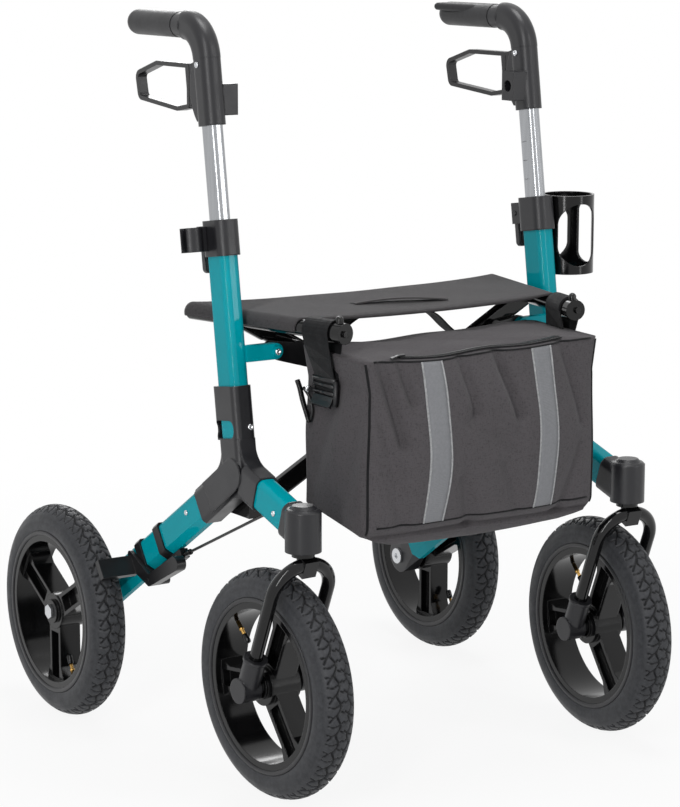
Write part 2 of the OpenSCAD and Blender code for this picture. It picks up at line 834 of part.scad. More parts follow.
module grip() {
    color(rubber) difference() {
        translate([column_x, seam_y + 3 * fit, grip_z]) union() {
            cyl_y(grip_r, 0, grip_len - grip_r);
            translate([0, grip_len - grip_r, 0]) sphere(grip_r);
            hull() for (p = wing) translate([p[0], p[1], p[2]]) sphere(p[3], $fn = 32);
        }
        translate([column_x, seam_y, grip_z]) cyl_y(core_r + fit, -elbow_lap / 3, grip_len - grip_r + core_over + core_gap);
    }
}

module lever_loop(inset) {
    hull() for (p = loop_corners)
        translate([p.x + seam_y, p.y + grip_z]) circle(p.z + lever_t / 2 - inset, $fn = 32);
}

module brake_lever() {
    pin = body_w / 2 - 1;
    color(satin) {
        side_plate(column_x, lever_w) difference() {
            lever_loop(0);
            lever_loop(lever_t);
        }
        side_plate(column_x, lever_w - 1) hull() {
            translate([lever_pivot.y, lever_pivot.z]) circle(lever_hub_r);
            for (p = lever_root) translate([p.x + seam_y, p.y + grip_z]) circle(p.z);
        }
        translate(lever_pivot) cyl_x(lever_pin_r, -pin, pin);
    }
}

// Brakes
module leg_band(at, w) {
    along(leg_foot, leg_top) translate([0, 0, at - w / 2]) linear_extrude(w) mirror([0, 1, 0]) difference() {
        leg_section(band_t);
        leg_section(fit);
    }
}

// A wide yoke and a narrow band on the leg, joined by a rail below it that carries the pivot and the cable stop
module brake_bracket() {
    low = leg_d / 2 + band_t;
    pin = along_leg(brake_pivot);
    color(satin) {
        difference() {
            union() {
                leg_band(yoke_at, yoke_w);
                leg_band(band_at, band_w);
                along(leg_foot, leg_top) {
                    translate([-rail.x / 2, -low - rail.y + 1, yoke_at - yoke_w / 2])
                        cube([rail.x, rail.y, adjuster.x + adjuster_block.z / 2 - yoke_at + yoke_w / 2]);
                    translate([0, adjuster.y, adjuster.x]) cube(adjuster_block, center = true);
                    translate([-brake_boss.y, brake_pivot.y, brake_pivot.x - brake_boss.x])
                        cube([2 * brake_boss.y, -brake_pivot.y - low + 1, 2 * brake_boss.x]);
                }
                translate(pin) cyl_x(brake_boss.x, -brake_boss.y, brake_boss.y);
            }
            along(leg_foot, leg_top) linear_extrude(leg_len) mirror([0, 1, 0]) leg_section(fit);
            translate(cable_end) along([0, 0, 0], cable_dir) translate([0, 0, -screw_len])
                cylinder(r = screw_r + fit, h = 2 * screw_len);
        }
        translate(pin) cyl_x(brake_pin_r, -brake_boss.y - 1, leg_w / 2 + band_t + brake_pin_out);
    }
}

module brake_cable() {
    color(gloss) difference() {
        along(cable_end, cable_start) {
            translate([0, 0, screw_r]) cylinder(r = cable_r, h = cable_len - screw_r);
            translate([0, 0, -screw_len / 2]) cylinder(r = screw_r, h = screw_len);
            translate([0, 0, screw_len / 2]) cylinder(r = ferrule.x, h = ferrule.y);
            translate([0, 0, cable_len - ferrule.y / 2]) cylinder(r = ferrule.x, h = ferrule.y / 2);
        }
        along(front_leg_at, front_leg_at + front_leg_dir)
            translate([0, 0, -front_leg_in]) linear_extrude(front_leg_in + front_leg_out) front_leg_section(fit);
    }
}

// The arm turns on the bracket's pin: one end carries the shoe, the flap at the other end is pulled by the cable
module brake_arm() {
    out = leg_w / 2 + band_t + arm_gap;
    reach = rear_half_track + shoe_w / 2 - leg_foot.x;
    face = wheel_r + shoe_gap;
    pin_x = along_leg(brake_pivot).x;
    flap = brake_pivot + flap_from;
    color(satin) difference() {
        union() {
            side_plate(pin_x + out + arm_t / 2, arm_t) hull() {
                translate([along_leg(brake_pivot).y, along_leg(brake_pivot).z]) circle(brake_boss.x);
                for (p = arm_corners) let (at = along_leg([face + p.x, p.y]))
                    translate([at.y, at.z]) circle(p.z);
            }
            side_plate(pin_x + (flap_in + out + arm_t) / 2, out + arm_t - flap_in) hull() {
                translate([along_leg(brake_pivot).y, along_leg(brake_pivot).z]) circle(brake_boss.x);
                translate([along_leg(flap).y, along_leg(flap).z]) circle(flap_r);
            }
            along(leg_foot, leg_top) translate([out + 1, -shoe_low, face]) cube([reach - out - 1, shoe_h, shoe_t]);
        }
        translate(along_leg(brake_pivot)) cyl_x(brake_pin_r + run_gap, -shoe_w, shoe_w);
        translate([0, rear_y, wheel_r]) cyl_x(face, 0, 2 * rear_half_track);
    }
}

// Folding cross
module lower_pivot(at) {
    inner = column_x - joint_w / 2 - joint_skew;
    color(satin) {
        for (s = [-1, 1]) {
            y = bar_mid_y + s * (lug_half + lug_t / 2);
            front_plate(y - lug_t / 2, y + lug_t / 2) {
                translate([pivot_half, pivot_z]) circle(lug_r);
                translate([pivot_half, pivot_z - lug_r]) square([inner - pivot_half - fit, lug_h]);
            }
        }
        translate([inner - lug_t - fit, bar_mid_y - lug_half - lug_t, pivot_z - lug_r])
            cube([lug_t, 2 * (lug_half + lug_t), lug_h]);
        translate([pivot_half, 0, pivot_z]) {
            cyl_y(fold_pin_r, bar_mid_y - lug_half - pin_end, bar_mid_y + lug_half + pin_end);
            cyl_y(eye_r - bush_wall, at - bar_t / 2 + play, at + bar_t / 2 - play);
        }
    }
}

// Bar from the right lower pivot to the left seat tube, drawn at one depth
module fold_bar(y) {
    low = [-pivot_half, y, pivot_z];
    up = [seat_half, y, seat_z];
    difference() {
        union() {
            along(low, up) linear_extrude(bar_len) difference() {
                rounded(bar_w, bar_t, bar_round);
                rounded(bar_w - 2 * bar_wall, bar_t - 2 * bar_wall, bar_round - bar_wall);
            }
            translate(low) cyl_y(eye_r, -bar_t / 2, bar_t / 2);
            translate([0, y, cross_z]) cyl_y(eye_r, -bar_t / 2, bar_t / 2);
            along(low, up) translate([0, 0, bar_len - bar_head.x])
                linear_extrude(bar_head.x) rounded(bar_w + bar_head.y, bar_t, bar_round);
        }
        translate(low) cyl_y(fold_pin_r + run_gap, -bar_t, bar_t);
        along(seat_start, seat_end) translate([0, 0, -1])
            cylinder(r = seat_tube_r + fit, h = seat_front + seat_rear + 2);
        translate([seat_half, y, seat_z + bar_w]) cube([4 * bar_w, 2 * bar_t, 2 * bar_w], center = true);
    }
}

module right_cross_bar() {
    color(gloss) {
        fold_bar(bar_front_y);
        translate([0, 0, cross_z])
            cyl_y(fold_pin_r, bar_front_y, bar_rear_y + bar_t / 2 + pin_head);
    }
}

module left_cross_bar() {
    color(gloss) difference() {
        right() fold_bar(bar_rear_y);
        translate([0, 0, cross_z]) cyl_y(fold_pin_r + run_gap, bar_rear_y - bar_t, bar_rear_y + bar_t);
    }
}

module seat_tube() {
    color(gloss) {
        along(seat_start, seat_end) {
            difference() {
                cylinder(r = seat_tube_r, h = seat_front + seat_rear);
                translate([0, 0, -1])
                    cylinder(r = seat_tube_r - seat_tube_wall, h = seat_front + seat_rear - seat_tube_end);
            }
            difference() {
                union() {
                    translate([0, 0, -sleeve_end]) cylinder(r = sleeve_r, h = sleeve_len);
                    translate([0, 0, hook.y]) rotate([90, 0, 0]) cylinder(r = hook.x, h = sleeve_r + hook.z);
                    translate([0, -sleeve_r - hook.z, hook.y]) sphere(hook.x);
                }
                translate([0, 0, -fit]) cylinder(r = seat_tube_r + fit, h = sleeve_len);
            }
        }
        translate(seat_start) cyl_y(stud.x, -stud.y, -sleeve_end / 2);
    }
}

module seat_link(bar_y) {
    bar_face = bar_y - bar_t / 2 - fit;
    bolts = [for (x = link_bolts) bracket_pin.x + x];
    pin_r = bracket_pin_r + play;
    color(satin) difference() {
        union() {
            front_plate(link_y, link_y + link_t) hull() {
                translate([bracket_pin.x, bracket_pin.z]) circle(link_eye_r);
                for (x = bolts)
                    translate([x, cross_z + (x - link_drop.x) * tan(bar_slope) - link_drop.y]) circle(link_end_r);
            }
            for (x = bolts) translate([x, 0, cross_z + x * tan(bar_slope) - link_bolt_low])
                cyl_y(link_bolt_r, link_y, bar_face);
        }
        front_plate(link_y - 1, link_y + link_t + 1) translate([bracket_pin.x, bracket_pin.z]) {
            circle(pin_r);
            polygon([[-pin_r, 0], [pin_r, 0], [bracket_pin_r + saddle.x, -saddle.z], [-saddle.y, -saddle.z]]);
        }
    }
}

// Sling: its section runs over both seat tubes and sags between them
function sling_z(x, half) = seat_z + seat_tube_r + sling_gap - seat_sag * (1 - pow(x / half, 2));
function sling_side(half, r, s) =
    [for (a = [-20:20:80]) [s * (half + r * cos(a) / cos(seat_splay)), seat_z + r * sin(a)]];
function sling_span(half, rise, s) =
    [for (i = [0:8]) let (x = half * (1 - i / 4)) [s * x, sling_z(x, half) + (i % 8 == 0 ? max(rise, 0) : rise)]];
function sling_ring(y) =
    let (half = seat_x(y), r = seat_tube_r + sling_gap)
    concat(
        sling_side(half, r + sling_t, 1),
        sling_span(half, sling_t, 1),
        [for (p = [5:-1:0]) sling_side(half, r + sling_t, -1)[p]],
        sling_side(half, r, -1),
        sling_span(half, -sling_pad, -1),
        [for (p = [5:-1:0]) sling_side(half, r, 1)[p]]
    );

module seat_sling() {
    steps = 6;
    stations = [for (i = [0:steps]) sling_front + (sling_rear - sling_front) * i / steps];
    rings = [for (y = stations) [for (p = sling_ring(y)) [p.x, y, p.y]]];
    n = len(rings[0]);
    half = n / 2;
    color(cloth) polyhedron(
        points = [for (ring = rings) each ring],
        faces = concat(
            [for (i = [0:steps - 1], j = [0:n - 1]) each [
                [i * n + j, (i + 1) * n + j, (i + 1) * n + (j + 1) % n],
                [i * n + j, (i + 1) * n + (j + 1) % n, i * n + (j + 1) % n]]],
            [for (j = [0:half - 2]) each [[j, j + 1, n - 2 - j], [j, n - 2 - j, n - 1 - j]]],
            [for (j = [0:half - 2]) each [
                [steps * n + j, steps * n + n - 2 - j, steps * n + j + 1],
                [steps * n + j, steps * n + n - 1 - j, steps * n + n - 2 - j]]]
        ),
        convexity = 6
    );
}

module lift_strap() {
    end = bracket_pin.x - lift_end;
    bend = end - lift_bend;
    low = cross_z + end * tan(bar_slope) + bar_w / 2 / cos(bar_slope) + lift_gap;
    high = seat_z + seat_tube_r + sling_gap - seat_sag - sling_pad - play;
    color(gloss) translate([0, bar_mid_y, 0]) for (s = [0, 1]) mirror([s, 0, 0])
        front_plate(-lift_w / 2, lift_w / 2) polygon([
            [0, high], [bend, high], [end, low],
            [end - lift_t, low - lift_t], [bend - lift_t / 2, high - lift_t], [0, high - lift_t]
        ]);
}

// Bag: a rounded box with a domed front and a floor that rises toward the rear
module bag_form(inset) {
    deep = bag_d + bag_crown - 2 * inset;
    dome_r = (pow(bag_w / 2, 2) + pow(bag_h / 2, 2)) / (2 * bag_crown);
    difference() {
        translate([0, bag_back_y - inset, bag_bottom_z + bag_h / 2]) intersection() {
            rotate([90, 0, 0]) linear_extrude(deep)
                rounded(bag_w - 2 * inset, bag_h - 2 * inset, bag_round - inset);
            translate([0, dome_r - deep, 0]) sphere(dome_r, $fn = 160);
        }
        translate([0, bag_back_y - bag_d, bag_bottom_z + inset]) rotate([bag_rise, 0, 0])
            translate([-bag_w, -2 * bag_d, -bag_h]) cube([2 * bag_w, 4 * bag_d, bag_h]);
    }
}

module bag() {
    zip_y = bag_back_y - bag_d / 2;
    color(cloth) difference() {
        bag_form(0);
        bag_form(bag_wall);
        translate([zip_end - bag_w / 2, zip_y - zip_gap / 2, bag_bottom_z + bag_h / 2])
            cube([bag_w - 2 * zip_end, zip_gap, bag_h]);
    }
}

// Each strap loops round its seat tube and ends in a ladder buckle on the side of the bag
module bag_straps() {
    tube_at = [seat_x(strap_y), strap_y, seat_z];
    inner_r = seat_tube_r + strap_gap;
    side = bag_w / 2 + strap_gap / 2;
    x = max(side + strap_gap / 2, tube_at.x - inner_r - strap_t);
    front = strap_y - strap_w / 2;
    color(gloss) for (s = [0, 1]) mirror([s, 0, 0]) {
        translate(tube_at) along([0, 0, 0], seat_dir) difference() {
            translate([0, 0, -strap_w / 2]) cylinder(r = inner_r + strap_t, h = strap_w);
            translate([0, 0, -strap_w]) cylinder(r = inner_r, h = 2 * strap_w);
        }
        difference() {
            translate([x, front + strap_edge, seat_z - strap_hang.y])
                cube([strap_t, strap_w - strap_edge, strap_hang.y - strap_hang.x]);
            translate(tube_at) along([0, 0, 0], seat_dir) translate([0, 0, -strap_w])
                cylinder(r = inner_r + 1, h = 2 * strap_w);
        }
        difference() {
            translate([side, front, seat_z - buckle_low])
                cube([x + strap_t + buckle_t - side, strap_w + strap_edge, buckle_h]);
            translate([x - 1, front + strap_edge + 1, seat_z - buckle_low + buckle_slot.x])
                cube([strap_t + buckle_t + 2, strap_w - strap_edge - 2, buckle_slot.y]);
        }
    }
}

// Cup holder on the left column and stick clip on the right collar
// A cup shell with an open floor and three large windows
module cup_holder() {
    back_x = column_x + tube_w / 2 + fit;
    color(gloss) {
        translate(cup_at) difference() {
            cylinder(r = cup_r + cup_wall, h = cup_h);
            translate([0, 0, cup_wall]) cylinder(r = cup_r, h = cup_h);
            translate([0, 0, -1]) cylinder(r = cup_r - cup_floor, h = cup_h);
            for (w = cup_windows) rotate([0, 0, w.x]) translate([cup_r / 4, 0, cup_h / 2])
                rotate([90, 0, 90]) linear_extrude(cup_h) rounded(w.y, cup_h - 2 * cup_band, w.y / 2 - 1);
        }
        translate([back_x, cup_at.y - cup_rib, cup_at.z])
            cube([cup_at.x - cup_r - cup_wall + cup_lap - back_x, 2 * cup_rib, cup_h / 2]);
    }
}

module stick_clip() {
    outer = stick_r + clip_wall;
    root_x = tube_w / 2 + collar_wall + fit;
    at = [root_x + clip_arm + outer, clip_back, collar_at + (collar_h - clip_h) / 2];
    color(satin) right() column() difference() {
        union() {
            translate(at) cylinder(r = outer, h = clip_h);
            translate([root_x, at.y - outer / 2, at.z]) cube([clip_arm + outer, outer, clip_h]);
        }
        translate(at - [0, 0, 1]) cylinder(r = stick_r, h = clip_h + 2);
        translate(at + [0, -clip_mouth / 2, -1]) cube([outer + 1, clip_mouth, clip_h + 2]);
    }
}

// Left and right copies
module left_upper_tube() upper_tube();
module right_upper_tube() right() upper_tube();
module left_y_joint() y_joint();
module right_y_joint() right() y_joint();
module left_rear_leg() rear_leg();
module right_rear_leg() right() rear_leg();
module left_front_leg() front_leg();
module right_front_leg() right() front_leg();
module left_caster_head() caster_head();
module right_caster_head() right() caster_head();
module left_dropout() dropout();
module right_dropout() right() dropout();
module left_height_clamp() height_clamp();
module right_height_clamp() right() height_clamp();
module left_clamp_lever() clamp_lever();
module right_clamp_lever() right() clamp_lever();
module left_brake_bracket() brake_bracket();
module right_brake_bracket() right() brake_bracket();
module left_brake_arm() brake_arm();
module right_brake_arm() right() brake_arm();
module left_brake_cable() brake_cable();
module right_brake_cable() right() brake_cable();
module left_handle_tube() handle_tube();
module right_handle_tube() right() handle_tube();
module left_handle_body() handle_body();
module right_handle_body() right() handle_body();
module left_grip() grip();
module right_grip() right() grip();
module left_brake_lever() brake_lever();
module right_brake_lever() right() brake_lever();
module left_rear_tyre() rear_tyre();
module right_rear_tyre() right() rear_tyre();
module left_rear_rim() rear_rim();
module right_rear_rim() right() rear_rim();
module left_rear_axle() rear_axle();
module right_rear_axle() right() rear_axle();
module left_front_tyre() front_tyre();
module right_front_tyre() right() front_tyre();
module left_front_rim() front_rim();
module right_front_rim() right() front_rim();
module left_front_axle() front_axle();
module right_front_axle() right() front_axle();
module left_fork() fork();
module right_fork() right() fork();
module left_fork_sockets() fork_sockets();
module right_fork_sockets() right() fork_sockets();
module left_lower_pivot() lower_pivot(bar_front_y);
module right_lower_pivot() right() lower_pivot(bar_rear_y);
module left_seat_tube() seat_tube();
module right_seat_tube() right() seat_tube();
module left_seat_link() seat_link(bar_front_y);
module right_seat_link() right() seat_link(bar_rear_y);

right_upper_tube();
right_y_joint();
right_rear_leg();
right_front_leg();
right_caster_head();
right_dropout();
right_height_clamp();
right_clamp_lever();
right_brake_bracket();
right_brake_arm();
right_brake_cable();
right_handle_tube();
right_handle_body();
right_grip();
right_brake_lever();
right_rear_tyre();
right_rear_rim();
right_rear_axle();
right_front_tyre();
right_front_rim();
right_front_axle();
right_fork();
right_fork_sockets();
right_lower_pivot();
right_cross_bar();
right_seat_tube();
right_seat_link();
left_upper_tube();
left_y_joint();
left_rear_leg();
left_front_leg();
left_caster_head();
left_dropout();
left_height_clamp();
left_clamp_lever();
left_brake_bracket();
left_brake_arm();
left_brake_cable();
left_handle_tube();
left_handle_body();
left_grip();
left_brake_lever();
left_rear_tyre();
left_rear_rim();
left_rear_axle();
left_front_tyre();
left_front_rim();
left_front_axle();
left_fork();
left_fork_sockets();
left_lower_pivot();
left_cross_bar();
left_seat_tube();
left_seat_link();
seat_sling();
lift_strap();
bag();
bag_straps();
cup_holder();
stick_clip();
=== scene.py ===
import json
import math

import bmesh
import bpy
import numpy as np
from mathutils import Matrix, Vector


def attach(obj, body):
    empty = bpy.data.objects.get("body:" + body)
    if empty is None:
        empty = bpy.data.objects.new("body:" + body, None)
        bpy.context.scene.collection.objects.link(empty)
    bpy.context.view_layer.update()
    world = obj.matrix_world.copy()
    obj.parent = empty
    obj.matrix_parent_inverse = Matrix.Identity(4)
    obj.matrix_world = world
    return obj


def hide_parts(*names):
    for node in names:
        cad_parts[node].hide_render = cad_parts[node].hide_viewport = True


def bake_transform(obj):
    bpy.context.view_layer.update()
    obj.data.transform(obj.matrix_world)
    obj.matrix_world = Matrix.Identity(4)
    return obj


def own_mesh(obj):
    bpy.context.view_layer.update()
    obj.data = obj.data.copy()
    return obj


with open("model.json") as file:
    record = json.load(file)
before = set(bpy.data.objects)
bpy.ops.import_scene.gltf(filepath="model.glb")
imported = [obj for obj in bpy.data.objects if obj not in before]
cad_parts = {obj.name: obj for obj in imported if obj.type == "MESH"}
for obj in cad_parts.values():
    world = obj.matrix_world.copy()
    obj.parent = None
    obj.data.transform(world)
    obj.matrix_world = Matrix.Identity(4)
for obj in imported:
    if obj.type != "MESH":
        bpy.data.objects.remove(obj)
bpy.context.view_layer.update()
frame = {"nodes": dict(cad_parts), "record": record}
NODES = frame["nodes"]
SIDES = {"right": -1, "left": 1}
TUBE_BODY = {"right": "rear_bar", "left": "front_bar"}
MM = 0.001

scene = bpy.context.scene
scene.view_settings.view_transform = "Standard"

# Sizes of the CAD model, in millimetres and radians
WHEEL_R, TYRE_R = 142.0, 25.0
REAR_X, REAR_Y = 303.5, 224.0
CASTER_X, CASTER_Y = 247.0, -282.0
TRAIL, TOE = 58.0, math.radians(3.2)
COLUMN = Vector((242.0, -116.0, 492.0))
LEAN = math.radians(8.2)
SEAT_HALF, SEAT_Z, BAR_Y = 211.0, 569.0, -100.0
SPLAY = math.radians(13.0)

# Camera, solved from the photograph: radians, metres, the photograph's pixels, and a sensor in millimetres
AZIMUTH, ELEVATION = math.radians(-33.26), math.radians(10.38)
DISTANCE = 3.5115
AIM = Vector((0.0, 0.032, 0.4363))
FOCAL, SHIFT_X, SHIFT_Y = 2652.8, 7.76, -10.99
IMAGE_HEIGHT = 807.0
SENSOR = 36.0

# Studio, in metres and watts. Each light has a place, a width and height, and a power
SKY_COLOR, SKY_STRENGTH = (0.95, 0.97, 1.0, 1), 0.2
FLOOR_COLOR, FLOOR_HALF = (0.9, 0.9, 0.9, 1), 9
FLOOR_FADE = {"From Min": 0.4, "From Max": 1.6, "To Min": 0.9, "To Max": 1.0}
LIGHT_AIM = (0, 0, 0.45)
LIGHTS = (
    ("key", (-2.7, -2.1, 1.6), (0.3, 4.0), 66),
    ("fill", (1.6, -3.2, 1.6), (0.4, 3.6), 28),
    ("top", (0.2, -0.1, 3.2), (1.2, 1.2), 32),
    ("rim", (1.2, 2.8, 1.8), (1.0, 1.4), 18),
)


# Camera and light
def add_object(name, data):
    obj = bpy.data.objects.new(name, data)
    scene.collection.objects.link(obj)
    return obj


def look_at(obj, target):
    direction = Vector(target) - obj.location
    obj.rotation_euler = direction.to_track_quat("-Z", "Y").to_euler()


def add_camera():
    cam = bpy.data.cameras.new("camera")
    obj = add_object("camera", cam)
    level = math.cos(ELEVATION)
    back = Vector((math.sin(AZIMUTH) * level, -math.cos(AZIMUTH) * level, math.sin(ELEVATION)))
    obj.location = AIM + back * DISTANCE
    look_at(obj, AIM)
    cam.sensor_width = SENSOR
    cam.lens = FOCAL * SENSOR / IMAGE_HEIGHT
    cam.shift_x = SHIFT_X / IMAGE_HEIGHT
    cam.shift_y = SHIFT_Y / IMAGE_HEIGHT
    cam.clip_end = 50.0
    scene.camera = obj


def area_light(name, place, size, power):
    light = bpy.data.lights.new(name, "AREA")
    light.shape = "RECTANGLE"
    light.size, light.size_y = size
    light.energy = power
    obj = add_object(name, light)
    obj.location = place
    look_at(obj, LIGHT_AIM)


def shown_rays(tree):
    """1 for the rays that see the white studio itself, in view, in gloss or through glass."""
    path = tree.nodes.new("ShaderNodeLightPath")
    both = tree.nodes.new("ShaderNodeMath")
    every = tree.nodes.new("ShaderNodeMath")
    both.operation = every.operation = "MAXIMUM"
    tree.links.new(path.outputs["Is Camera Ray"], both.inputs[0])
    tree.links.new(path.outputs["Is Glossy Ray"], both.inputs[1])
    tree.links.new(both.outputs[0], every.inputs[0])
    tree.links.new(path.outputs["Is Transmission Ray"], every.inputs[1])
    return every.outputs[0]


def mix_looks(tree, output, lit, seen, share):
    """Joins the shader that lights the object and the one that is seen, by the share of the second."""
    out = tree.nodes.new(output)
    mix = tree.nodes.new("ShaderNodeMixShader")
    tree.links.new(share, mix.inputs[0])
    tree.links.new(lit.outputs[0], mix.inputs[1])
    tree.links.new(seen.outputs[0], mix.inputs[2])
    tree.links.new(mix.outputs[0], out.inputs[0])


def add_world():
    world = bpy.data.worlds.new("studio")
    scene.world = world
    world.use_nodes = True
    tree = world.node_tree
    tree.nodes.clear()
    soft = tree.nodes.new("ShaderNodeBackground")
    soft.inputs["Color"].default_value = SKY_COLOR
    soft.inputs["Strength"].default_value = SKY_STRENGTH
    white = tree.nodes.new("ShaderNodeBackground")
    white.inputs["Color"].default_value = (1, 1, 1, 1)
    white.inputs["Strength"].default_value = 1.0
    mix_looks(tree, "ShaderNodeOutputWorld", soft, white, shown_rays(tree))


def floor_material():
    """White where it is seen, a little less near the object, so that the shadow shows there."""
    mat = bpy.data.materials.new("floor_white")
    mat.use_nodes = True
    tree = mat.node_tree
    tree.nodes.clear()
    matte = tree.nodes.new("ShaderNodeBsdfDiffuse")
    matte.inputs["Color"].default_value = FLOOR_COLOR
    glow = tree.nodes.new("ShaderNodeEmission")
    coords = tree.nodes.new("ShaderNodeTexCoord")
    reach = tree.nodes.new("ShaderNodeVectorMath")
    reach.operation = "LENGTH"
    fade = tree.nodes.new("ShaderNodeMapRange")
    for key, value in FLOOR_FADE.items():
        fade.inputs[key].default_value = value
    share = tree.nodes.new("ShaderNodeMath")
    share.operation = "MULTIPLY"
    tree.links.new(coords.outputs["Object"], reach.inputs[0])
    tree.links.new(reach.outputs["Value"], fade.inputs["Value"])
    tree.links.new(shown_rays(tree), share.inputs[0])
    tree.links.new(fade.outputs["Result"], share.inputs[1])
    mix_looks(tree, "ShaderNodeOutputMaterial", matte, glow, share.outputs[0])
    return mat


def add_floor():
    mesh = bpy.data.meshes.new("floor")
    corners = [(x * FLOOR_HALF, y * FLOOR_HALF, 0) for x, y in ((-1, -1), (1, -1), (1, 1), (-1, 1))]
    mesh.from_pydata(corners, [], [(0, 1, 2, 3)])
    floor = add_object("floor", mesh)
    floor.data.materials.append(floor_material())


# Materials
def srgb(r, g, b):
    def line(c):
        c /= 255.0
        return c / 12.92 if c <= 0.04045 else ((c + 0.055) / 1.055) ** 2.4
    return (line(r), line(g), line(b), 1.0)


def shade(color, k):
    """A colour made darker or lighter by a factor."""
    return (min(1, color[0] * k), min(1, color[1] * k), min(1, color[2] * k), 1.0)


class Nodes:
    """A material with a principled shader and short calls for its textures."""

    def __init__(self, name, stretch=(1, 1, 1)):
        self.mat = bpy.data.materials.new(name)
        self.mat.use_nodes = True
        self.tree = self.mat.node_tree
        self.shader = self.tree.nodes["Principled BSDF"]
        coords = self.new("ShaderNodeTexCoord")
        self.place = self.new("ShaderNodeMapping")
        self.place.inputs["Scale"].default_value = stretch
        self.link(coords.outputs["Object"], self.place.inputs["Vector"])
        self.normal = None

    def new(self, kind):
        return self.tree.nodes.new(kind)

    def link(self, a, b):
        self.tree.links.new(a, b)

    def set(self, **values):
        for key, value in values.items():
            self.shader.inputs[key.replace("_", " ")].default_value = value

    def noise(self, scale, detail=4.0, rough=0.55, stretch=None):
        tex = self.new("ShaderNodeTexNoise")
        tex.inputs["Scale"].default_value = scale
        tex.inputs["Detail"].default_value = detail
        tex.inputs["Roughness"].default_value = rough
        place = self.place
        if stretch:
            place = self.new("ShaderNodeMapping")
            place.inputs["Scale"].default_value = stretch
            self.link(self.place.outputs[0], place.inputs["Vector"])
        self.link(place.outputs[0], tex.inputs["Vector"])
        return tex.outputs["Fac"]

    def wave(self, axis, scale):
        tex = self.new("ShaderNodeTexWave")
        tex.bands_direction = axis
        tex.wave_profile = "SIN"
        tex.inputs["Scale"].default_value = scale
        tex.inputs["Distortion"].default_value = 0.4
        tex.inputs["Detail"].default_value = 1.0
        self.link(self.place.outputs[0], tex.inputs["Vector"])
        return tex.outputs["Fac"]

    def combine(self, a, b, how="ADD"):
        node = self.new("ShaderNodeMath")
        node.operation = how
        self.link(a, node.inputs[0])
        if isinstance(b, float):
            node.inputs[1].default_value = b
        else:
            self.link(b, node.inputs[1])
        return node.outputs[0]

    def color(self, value, low, high, start=0.3, end=0.7):
        ramp = self.new("ShaderNodeValToRGB")
        ramp.color_ramp.elements[0].position = start
        ramp.color_ramp.elements[0].color = low
        ramp.color_ramp.elements[1].position = end
        ramp.color_ramp.elements[1].color = high
        self.link(value, ramp.inputs["Fac"])
        self.link(ramp.outputs["Color"], self.shader.inputs["Base Color"])

    def rough(self, value, low, high):
        node = self.new("ShaderNodeMapRange")
        node.inputs["From Min"].default_value = 0.3
        node.inputs["From Max"].default_value = 0.7
        node.inputs["To Min"].default_value = low
        node.inputs["To Max"].default_value = high
        self.link(value, node.inputs["Value"])
        self.link(node.outputs["Result"], self.shader.inputs["Roughness"])

    def soft_edge(self, radius):
        node = self.new("ShaderNodeBevel")
        node.samples = 4
        node.inputs["Radius"].default_value = radius
        self.normal = node.outputs["Normal"]
        self.link(self.normal, self.shader.inputs["Normal"])

    def bump(self, value, strength, distance):
        node = self.new("ShaderNodeBump")
        node.inputs["Strength"].default_value = strength
        node.inputs["Distance"].default_value = distance
        self.link(value, node.inputs["Height"])
        if self.normal is not None:
            self.link(self.normal, node.inputs["Normal"])
        self.normal = node.outputs["Normal"]
        self.link(self.normal, self.shader.inputs["Normal"])


def paint(name, base, rough, gloss, coat, edge, peel):
    """Paint with a faint orange peel."""
    m = Nodes(name)
    m.color(m.noise(9), shade(base, 0.93), shade(base, 1.06))
    m.rough(m.noise(26, detail=6), *rough)
    m.set(Specular_IOR_Level=gloss, Coat_Weight=coat, Coat_Roughness=0.05)
    m.soft_edge(edge)
    m.bump(m.noise(700, detail=2), strength=peel, distance=0.0002)
    return m.mat


def plastic(name, base, rough, gloss, edge, grain):
    m = Nodes(name)
    m.set(Specular_IOR_Level=gloss)
    m.color(m.noise(14, detail=5), shade(base, 0.9), shade(base, 1.1))
    m.rough(m.noise(40, detail=6), *rough)
    m.soft_edge(edge)
    m.bump(m.noise(1700, detail=3), strength=grain, distance=0.0003)
    return m.mat


def metal(name, base, rough, stretch=(1, 1, 1), edge=0.0005, grain=0.05):
    m = Nodes(name, stretch)
    m.color(m.noise(30, detail=5), shade(base, 0.9), shade(base, 1.05))
    m.rough(m.noise(60, detail=6), *rough)
    m.set(Metallic=1.0)
    if edge:
        m.soft_edge(edge)
    if grain:
        m.bump(m.noise(240, detail=3), strength=grain, distance=0.0002)
    return m.mat


def cloth(name, base, weave, sheen, contrast):
    """Woven cloth with slubs both ways."""
    m = Nodes(name)
    level = m.noise(760, detail=3, rough=0.7, stretch=(0.3, 0.3, 1))
    upright = m.noise(760, detail=3, rough=0.7, stretch=(1, 1, 0.3))
    slubs = m.combine(level, upright)
    m.color(slubs, shade(base, 1 - contrast), shade(base, 1 + contrast), start=0.72, end=1.28)
    m.rough(m.noise(90), 0.82, 0.95)
    m.set(Sheen_Weight=sheen, Sheen_Roughness=0.5, Specular_IOR_Level=0.1)
    threads = m.combine(m.combine(m.wave("X", weave), m.wave("Y", weave)), m.wave("Z", weave))
    m.bump(threads, strength=0.25, distance=0.0004)
    m.bump(m.noise(60), strength=0.12, distance=0.002)
    return m.mat


def webbing(name, base, weave, fleck=0.22):
    m = Nodes(name)
    m.color(m.noise(300, detail=3), shade(base, 1 - fleck), shade(base, 1 + fleck))
    m.rough(m.noise(120), 0.6, 0.8)
    m.set(Sheen_Weight=0.1, Specular_IOR_Level=0.15)
    m.bump(m.combine(m.wave("Z", weave), m.wave("Y", weave)), strength=0.35, distance=0.0004)
    return m.mat


